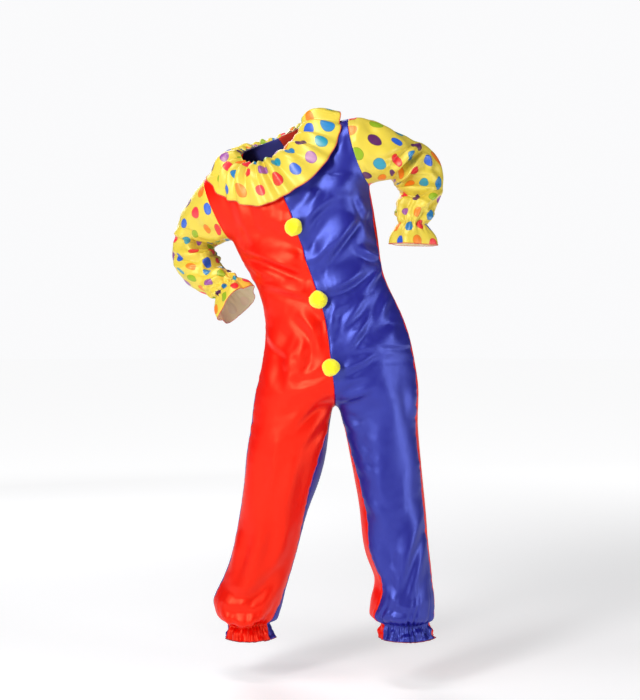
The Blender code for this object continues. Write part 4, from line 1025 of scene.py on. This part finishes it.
def dottedColour(tree, offset):
    # One dot in each cell of a brick grid over the flat cut. The cell's own draw moves and
    # sizes it, and its colour is number (2 column + 5 row + draw) mod 9, unlike its neighbours'.
    place = clothPlace(tree, (1.0 / dots["across"], 1.0 / dots["down"], 1.0), offset)
    parts = node(tree, "ShaderNodeSeparateXYZ")
    wire(tree, place, parts.inputs["Vector"])
    row = maths(tree, "FLOOR", parts.outputs["Y"])
    shifted = maths(tree, "MULTIPLY_ADD", maths(tree, "MODULO", row, 2.0), 0.5, parts.outputs["X"])
    column = maths(tree, "FLOOR", shifted)
    draw = node(tree, "ShaderNodeTexWhiteNoise", noise_dimensions="2D")
    wire(tree, joined(tree, column, row), draw.inputs["Vector"])
    draws = node(tree, "ShaderNodeSeparateColor")
    wire(tree, draw.outputs["Color"], draws.inputs["Color"])
    low, high = 0.5 - dots["scatter"], 0.5 + dots["scatter"]
    gapX = maths(tree, "SUBTRACT", maths(tree, "FRACT", shifted),
                 spread(tree, draws.outputs["Red"], low, high))
    gapY = maths(tree, "SUBTRACT", maths(tree, "FRACT", parts.outputs["Y"]),
                 spread(tree, draws.outputs["Green"], low, high))
    gapY = maths(tree, "MULTIPLY", gapY, dots["down"] / dots["across"])
    gap = node(tree, "ShaderNodeVectorMath", operation="LENGTH")
    wire(tree, joined(tree, gapX, gapY), gap.inputs[0])
    wobble = noiseOf(tree, place, 2.4, 1.0)
    radius = spread(tree, draws.outputs["Blue"], dots["smallest"], dots["largest"])
    inside = maths(tree, "SUBTRACT", maths(tree, "ADD", radius, spread(tree, wobble, -0.035, 0.035)),
                   gap.outputs["Value"])
    mask, core = node(tree, "ShaderNodeMapRange"), node(tree, "ShaderNodeMapRange")
    for step, low, high in ((mask, -0.006, 0.006), (core, 0.008, 0.035)):
        settle(step, FromMin=low, FromMax=high)
        wire(tree, inside, step.inputs["Value"])
    colours = dots["colours"]
    number = maths(tree, "MULTIPLY_ADD", column, 2.0, maths(tree, "MULTIPLY", row, 5.0))
    number = maths(tree, "ADD", number, maths(tree, "ROUND", draw.outputs["Value"]))
    number = maths(tree, "MODULO", number, float(len(colours)))
    ramp = node(tree, "ShaderNodeValToRGB")
    ramp.color_ramp.interpolation = "CONSTANT"
    for k, colour in enumerate(colours):
        stop = ramp.color_ramp.elements[k] if k < 2 else ramp.color_ramp.elements.new(k / len(colours))
        stop.position = k / len(colours)
        stop.color = colour + (1.0,)
    number = maths(tree, "DIVIDE", maths(tree, "ADD", number, 0.5), float(len(colours)))
    wire(tree, number, ramp.inputs["Fac"])
    darker = mixColours(tree, 0.45, ramp.outputs["Color"], (0.05, 0.03, 0.02), "MULTIPLY")
    dot = mixColours(tree, core.outputs["Result"], darker, ramp.outputs["Color"])
    return mixColours(tree, mask.outputs["Result"], dots["ground"], dot)


def dottedSatin(name, offset):
    material, tree, shader = newMaterial(name)
    colour = dottedColour(tree, offset)
    satinSurface(tree, shader, colour, satinLook["printedGleam"], satinLook["printed"])
    return material


def wrongSide(name, colour, dotted=None):
    # The back of the cloth: matt, paler, with the print showing faintly through.
    material, tree, shader = newMaterial(name)
    if dotted is None:
        base = plainColour(tree, colour)
    else:
        base = mixColours(tree, 0.88, dottedColour(tree, dotted), colour)
    grain = noiseOf(tree, clothPlace(tree, (900.0, 900.0, 1.0)), 1.0, 2.0)
    toned = mixColours(tree, spread(tree, grain, 0.0, 0.3), base, (0.5, 0.5, 0.5), "SOFT_LIGHT")
    wire(tree, toned, shader.inputs["Base Color"])
    settle(shader, Roughness=0.75, SpecularIORLevel=0.25)
    wire(tree, bumpNormal(tree, grain, 0.4, 0.0002), shader.inputs["Normal"])
    return material


redSatin = satin("redSatin", (0.84, 0.002, 0.0), (1.0, 0.15, 0.07))
blueSatin = satin("blueSatin", (0.012, 0.009, 0.205), (0.21, 0.28, 0.95))
redInside = wrongSide("redInside", (0.62, 0.035, 0.015))
blueInside = wrongSide("blueInside", (0.05, 0.05, 0.26))
sleeveDots = dottedSatin("sleeveDots", (20.3, 10.1, 0.0))
sleeveDotsTwo = dottedSatin("sleeveDotsTwo", (47.6, 33.4, 0.0))
collarDots = dottedSatin("collarDots", (5.4, 60.35, 0.0))
# the dotted cloth's paler back, partly its own pale cream and partly painted light: the colour is pushed
# lighter to stand for light shining through the thin satin into the shaded insides of the cuffs and collar
dotsInsidePaintedLight = wrongSide("dotsInsidePaintedLight", (0.95, 0.90, 0.66), (20.3, 10.1, 0.0))

cadName = dict(frontRed="front_red", backRed="back_red", frontBlue="front_blue", backBlue="back_blue",
               sleeveRight="sleeve_right", sleeveLeft="sleeve_left")


def surfaceArea(grid, closed=False):
    # Half the length of the diagonals' cross product in every cell, m2.
    if closed:
        grid = np.concatenate([grid, grid[:, :1]], axis=1)
    cell = np.cross(grid[1:, 1:] - grid[:-1, :-1], grid[1:, :-1] - grid[:-1, 1:])
    return float(np.linalg.norm(cell, axis=2).sum()) * 0.5e-6


for name in panelOf.values():
    grid = worn[gridIds[name]]
    u = runAcross(grid) * 0.001
    v = runAlong(grid[:, body["columns"] // 2])[:, None] * 0.001
    look = (redSatin, redInside) if name.endswith("Red") else (blueSatin, blueInside)
    piece = clothPiece(name, u, v + 0 * u, look)
    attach(piece, "root")
    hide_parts(cadName[name])
    print("  %s %.3f m2, %.2f m long, %.2f m wide" % (name, surfaceArea(grid), v.max(), u.max()))

for name, look in (("sleeveRight", sleeveDots), ("sleeveLeft", sleeveDotsTwo)):
    grid = worn[gridIds[name]]
    share = np.linspace(0.0, 1.0, sleeveColumns + 1)[None, :] - 0.5
    length = np.cumsum(np.linalg.norm(np.diff(grid, axis=0, prepend=grid[:1]), axis=2).mean(axis=1))
    v = (length * 0.001)[:, None]
    width = sleeve["flatWidth"] * (1.0 - 0.12 * v / v.max())
    piece = clothPiece(name, share * width, v + 0 * share, (look, dotsInsidePaintedLight))
    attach(piece, "root")
    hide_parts(cadName[name])
    print("  %s %.3f m2, %.2f m long" % (name, surfaceArea(grid, True), v.max()))

print("stage: collar")
grid, turn = collarGrid()
ids = np.arange(grid.shape[0] * grid.shape[1]).reshape(grid.shape[:2])
faces = quadFaces(ids, True)
flat = grid.reshape(-1, 3)
flip = cellNormals(flat, faces)[:, 2].sum() < 0
if flip:
    faces = faces[:, ::-1]
u = np.linspace(0.0, 1.0, collar["columns"] + 1)[None, :] * collar["flatWidth"]
v = np.linspace(0.0, 1.0, collar["rows"] + 1)[:, None] * collar["flatLength"]
piece = makeMesh("collarCloth", toFrame(flat), faces, cellCorners(u + 0 * v, v + 0 * u, flip))
# the bodice under the collar keeps it at its clearance
under = makeMesh("bodiceUnder", toFrame(worn), allFaces)
lie = piece.modifiers.new("lie", "SHRINKWRAP")
lie.target = under
lie.wrap_method = "NEAREST_SURFACEPOINT"
lie.wrap_mode = "OUTSIDE"
lie.offset = collar["clearance"] * 0.001
bpy.context.view_layer.update()
laid = piece.evaluated_get(bpy.context.evaluated_depsgraph_get()).to_mesh()
settled = np.empty(len(laid.vertices) * 3)
laid.vertices.foreach_get("co", settled)
settled = settled.reshape(grid.shape)
piece.evaluated_get(bpy.context.evaluated_depsgraph_get()).to_mesh_clear()
piece.modifiers.remove(lie)
bpy.data.objects.remove(under, do_unlink=True)
start = toFrame(grid)
keep = smooth((np.arange(len(grid)) - 1.0) / 4.0)[:, None, None]
settled = start + (settled - start) * keep
piece.data.vertices.foreach_set("co", settled.ravel())
piece.data.update()
finishCloth(piece, (collarDots, dotsInsidePaintedLight))
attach(piece, "root")
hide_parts("collar")
print("  collar %.3f m2" % surfaceArea(settled * 1000.0, True))

print("stage: hems")
hemLook = dict(radius=0.0011, pitch=0.0024, sides=8, swell=0.28)      # radius and pitch in m


def threadMaterial(name, colour):
    material, tree, shader = newMaterial(name)
    fuzz = noiseOf(tree, objectPlace(tree), 900.0, 2.0)
    toned = mixColours(tree, spread(tree, fuzz, 0.0, 0.5), colour, tuple(0.45 * c for c in colour))
    wire(tree, toned, shader.inputs["Base Color"])
    settle(shader, Roughness=0.6, SheenWeight=0.3)
    wire(tree, bumpNormal(tree, fuzz, 0.5, 0.0003), shader.inputs["Normal"])
    return material


orangeThread = threadMaterial("orangeThread", (0.72, 0.10, 0.03))
darkThread = threadMaterial("darkThread", (0.30, 0.01, 0.03))


def facesInward(tube):
    # True where the first ring winds against its way along the path.
    ring = tube[0]
    around = np.cross(ring[1] - ring[0], ring[2] - ring[0])
    return np.dot(around, tube[1].mean(axis=0) - ring.mean(axis=0)) > 0


def overlock(name, path, outward, closed, material):
    # Tube r (1 + swell sin(2 pi run / pitch + angle)) round an edge, a swelling for each stitch.
    if closed:
        path = np.concatenate([path, path[:1]])
        outward = np.concatenate([outward, outward[:1]])
    run = runAlong(path)
    stitches = int(run[-1] / hemLook["pitch"])
    count = stitches * 4
    at = np.linspace(0.0, run[-1], count + 1)
    line = np.stack([np.interp(at, run, path[:, k]) for k in range(3)], axis=1)
    side = unit(np.stack([np.interp(at, run, outward[:, k]) for k in range(3)], axis=1))
    if closed:
        line, side, at = line[:-1], side[:-1], at[:-1]
    way = np.roll(line, -1, axis=0) - np.roll(line, 1, axis=0) if closed else np.gradient(line, axis=0)
    way = unit(way)
    up = unit(np.cross(way, side))
    angle = 2.0 * math.pi * np.arange(hemLook["sides"]) / hemLook["sides"]
    slant = 2.0 * math.pi * stitches * at[:, None] / run[-1] + angle[None, :]
    size = hemLook["radius"] * (1.0 + hemLook["swell"] * np.sin(slant))
    if not closed:
        size = size * np.sqrt(np.clip(np.minimum(at, run[-1] - at) / 0.002, 0.02, 1.0))[:, None]
    tube = (line[:, None] + (size * np.cos(angle))[..., None] * side[:, None]
            + (size * 0.8 * np.sin(angle))[..., None] * up[:, None])
    ids = np.arange(tube.shape[0] * tube.shape[1]).reshape(tube.shape[:2])
    if closed:
        ids = np.concatenate([ids, ids[:1]])
    faces = quadFaces(ids, True).tolist()
    if not closed:
        faces += [ids[0].tolist()[::-1], ids[-1].tolist()]
    piece = makeMesh(name, tube.reshape(-1, 3), faces)
    piece.data.materials.append(material)
    if facesInward(tube):
        piece.data.flip_normals()
    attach(piece, "root")
    return piece


def edgeOf(name, row, inner):
    # Points of a piece's edge row, and the way outwards from the row inner.
    edge = toFrame(worn[gridIds[name][row]])
    return edge, unit(edge - toFrame(worn[gridIds[name][inner]]))


collarHem = overlock("collarHem", settled[-1], unit(settled[-1] - settled[-3]), True, orangeThread)
for name in ("sleeveRight", "sleeveLeft"):
    hem = overlock(name + "Hem", *edgeOf(name, -1, -3), True, orangeThread)
for name in panelOf.values():
    hem = overlock(name + "Hem", *edgeOf(name, 0, 2), False, darkThread)

print("stage: pompoms")


def pompomShape(out, side, up, centre, seed):
    # Ball cut by soft facets: r(dir) = -1/k log sum exp(-k h / max(dir.n, small)), k = soft,
    # pressed flat where it is sewn on, with a fine fuzz.
    draw = np.random.default_rng(seed)
    rings, sides = pompom["rings"], pompom["sides"]
    polar = np.linspace(0.0, math.pi, rings + 1)[1:-1, None]
    turn = 2.0 * math.pi * np.arange(sides)[None, :] / sides
    way = np.stack([np.sin(polar) * np.cos(turn), np.sin(polar) * np.sin(turn), np.cos(polar) + 0 * turn],
                   axis=2).reshape(-1, 3)
    way = np.concatenate([np.array(((0.0, 0.0, 1.0),)), way, np.array(((0.0, 0.0, -1.0),))])
    facets = unit(draw.normal(size=(pompom["facets"], 3)))
    far = draw.uniform(0.955, 1.02, pompom["facets"])
    reach = np.minimum(far / np.maximum(way @ facets.T, 0.2), 1.25)
    size = -np.log(np.exp(-pompom["soft"] * reach).sum(axis=1)) / pompom["soft"]
    size = size / size.max()
    fuzz = 0.012 * ripple(way * 25.0, 3.2, seed + 1, 30) + 0.008 * ripple(way * 25.0, 1.5, seed + 2, 40)
    radius = pompom["radius"] * (size + fuzz)
    local = way * radius[:, None]
    local[:, 2] = np.maximum(local[:, 2], -pompom["seat"] * pompom["radius"])
    points = centre + local[:, :1] * side + local[:, 1:2] * up + local[:, 2:] * out
    ids = 1 + np.arange((rings - 1) * sides).reshape(rings - 1, sides)
    faces = quadFaces(ids, True)[:, ::-1].tolist()
    last = len(points) - 1
    faces += [[0, a, b] for a, b in zip(ids[0], np.roll(ids[0], -1))]
    faces += [[last, b, a] for a, b in zip(ids[-1], np.roll(ids[-1], -1))]
    return points, faces


def felt(name, colour):
    material, tree, shader = newMaterial(name)
    place = objectPlace(tree)
    fibre = noiseOf(tree, place, 620.0, 4.0)
    patch = noiseOf(tree, place, 90.0, 2.0)
    toned = mixColours(tree, spread(tree, fibre, 0.0, 0.75), colour, (0.88, 0.74, 0.0))
    toned = mixColours(tree, spread(tree, patch, 0.0, 0.25), toned, (0.95, 0.95, 0.12))
    wire(tree, toned, shader.inputs["Base Color"])
    settle(shader, Roughness=0.92, SpecularIORLevel=0.15, SheenWeight=0.5, SheenRoughness=0.5)
    wire(tree, bumpNormal(tree, fibre, 0.7, 0.0008), shader.inputs["Normal"])
    return material


yellowFelt = felt("yellowFelt", (0.98, 0.92, 0.0))
for seed, (name, level) in enumerate(pompom["levels"].items()):
    at = seamIds[np.abs(points[seamIds, 2] - level).argmin()]
    out = unit(wornNormal[at])
    side = unit(np.cross(out, np.array((0.0, 0.0, 1.0))))
    up = np.cross(side, out)
    centre = worn[at] + out * (pompom["seat"] * pompom["radius"] + 0.4)
    shape, faces = pompomShape(out, side, up, centre, 60 + 10 * seed)
    piece = makeMesh(name, toFrame(shape), faces)
    piece.data.materials.append(yellowFelt)
    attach(piece, "root")
    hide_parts("pompom_" + name[6:].lower())

print("stage: floor, lights, camera")
floorZ = -neckCentre[2] * 0.001
turn = 2.0 * math.pi * np.arange(96) / 96
floorPoints = np.stack([25.0 * np.cos(turn), 25.0 * np.sin(turn), 0 * turn + floorZ], axis=1)
floor = makeMesh("studioFloor", floorPoints, [list(range(96))])
floorMaterial, tree, shader = newMaterial("studioFloor")
settle(shader, BaseColor=(0.80, 0.80, 0.81, 1.0), Roughness=0.8, EmissionColor=(1.0, 1.0, 1.0, 1.0))
# brighter far off, where the lamps no longer reach
far = node(tree, "ShaderNodeVectorMath", operation="LENGTH")
wire(tree, objectPlace(tree), far.inputs[0])
glow = node(tree, "ShaderNodeMapRange", interpolation_type="SMOOTHSTEP")
settle(glow, FromMin=1.9, FromMax=6.0, ToMin=0.33, ToMax=0.86)
wire(tree, far.outputs["Value"], glow.inputs["Value"])
wire(tree, glow.outputs["Result"], shader.inputs["Emission Strength"])
floor.data.materials.append(floorMaterial)


def softLight(name, place, aim, size, power):
    light = bpy.data.lights.new(name, "AREA")
    light.shape = "RECTANGLE"
    light.size, light.size_y = size
    light.energy = power
    lamp = bpy.data.objects.new(name, light)
    lamp.location = place
    way = np.array(aim) - np.array(place)
    flat = math.hypot(way[0], way[1])
    lamp.rotation_euler = (math.atan2(flat, -way[2]), 0.0, math.atan2(way[1], way[0]) - math.pi / 2)
    bpy.context.scene.collection.objects.link(lamp)


softLight("keyLight", (-1.9, -3.0, 0.7), (0.1, 0.0, -0.6), (0.8, 2.6), 106.0)
softLight("fillLight", (2.8, -1.5, -0.3), (0.1, 0.0, -0.6), (0.7, 2.0), 28.0)
softLight("topLight", (-0.6, -1.0, 2.3), (0.1, 0.0, -0.5), (1.4, 0.8), 34.0)
softLight("backLight", (-1.2, 3.2, 1.2), (0.1, 0.0, -0.6), (2.2, 2.2), 60.0)

bpy.context.scene.view_settings.view_transform = "Standard"
world = bpy.data.worlds.new("studioWorld")
world.use_nodes = True
tree = world.node_tree
backdrop = tree.nodes["Background"]
backdrop.inputs["Strength"].default_value = 1.0
seen = node(tree, "ShaderNodeLightPath")
white = mixColours(tree, seen.outputs["Is Camera Ray"], (0.11, 0.11, 0.115), (0.96, 0.96, 0.97))
wire(tree, white, backdrop.inputs["Color"])
bpy.context.scene.world = world

lens = bpy.data.cameras.new("studioCamera")
lens.sensor_width = 36.0
lens.lens = 36.0 * camera["distance"] / camera["frameHeight"]
eye = bpy.data.objects.new("studioCamera", lens)
eye.location = toFrame(np.array((0.0, -camera["distance"], camera["height"])))
drop = math.atan2(camera["height"] - camera["aim"], camera["distance"])
eye.rotation_euler = (math.pi / 2 - drop, 0.0, 0.0)
bpy.context.scene.collection.objects.link(eye)
bpy.context.scene.camera = eye
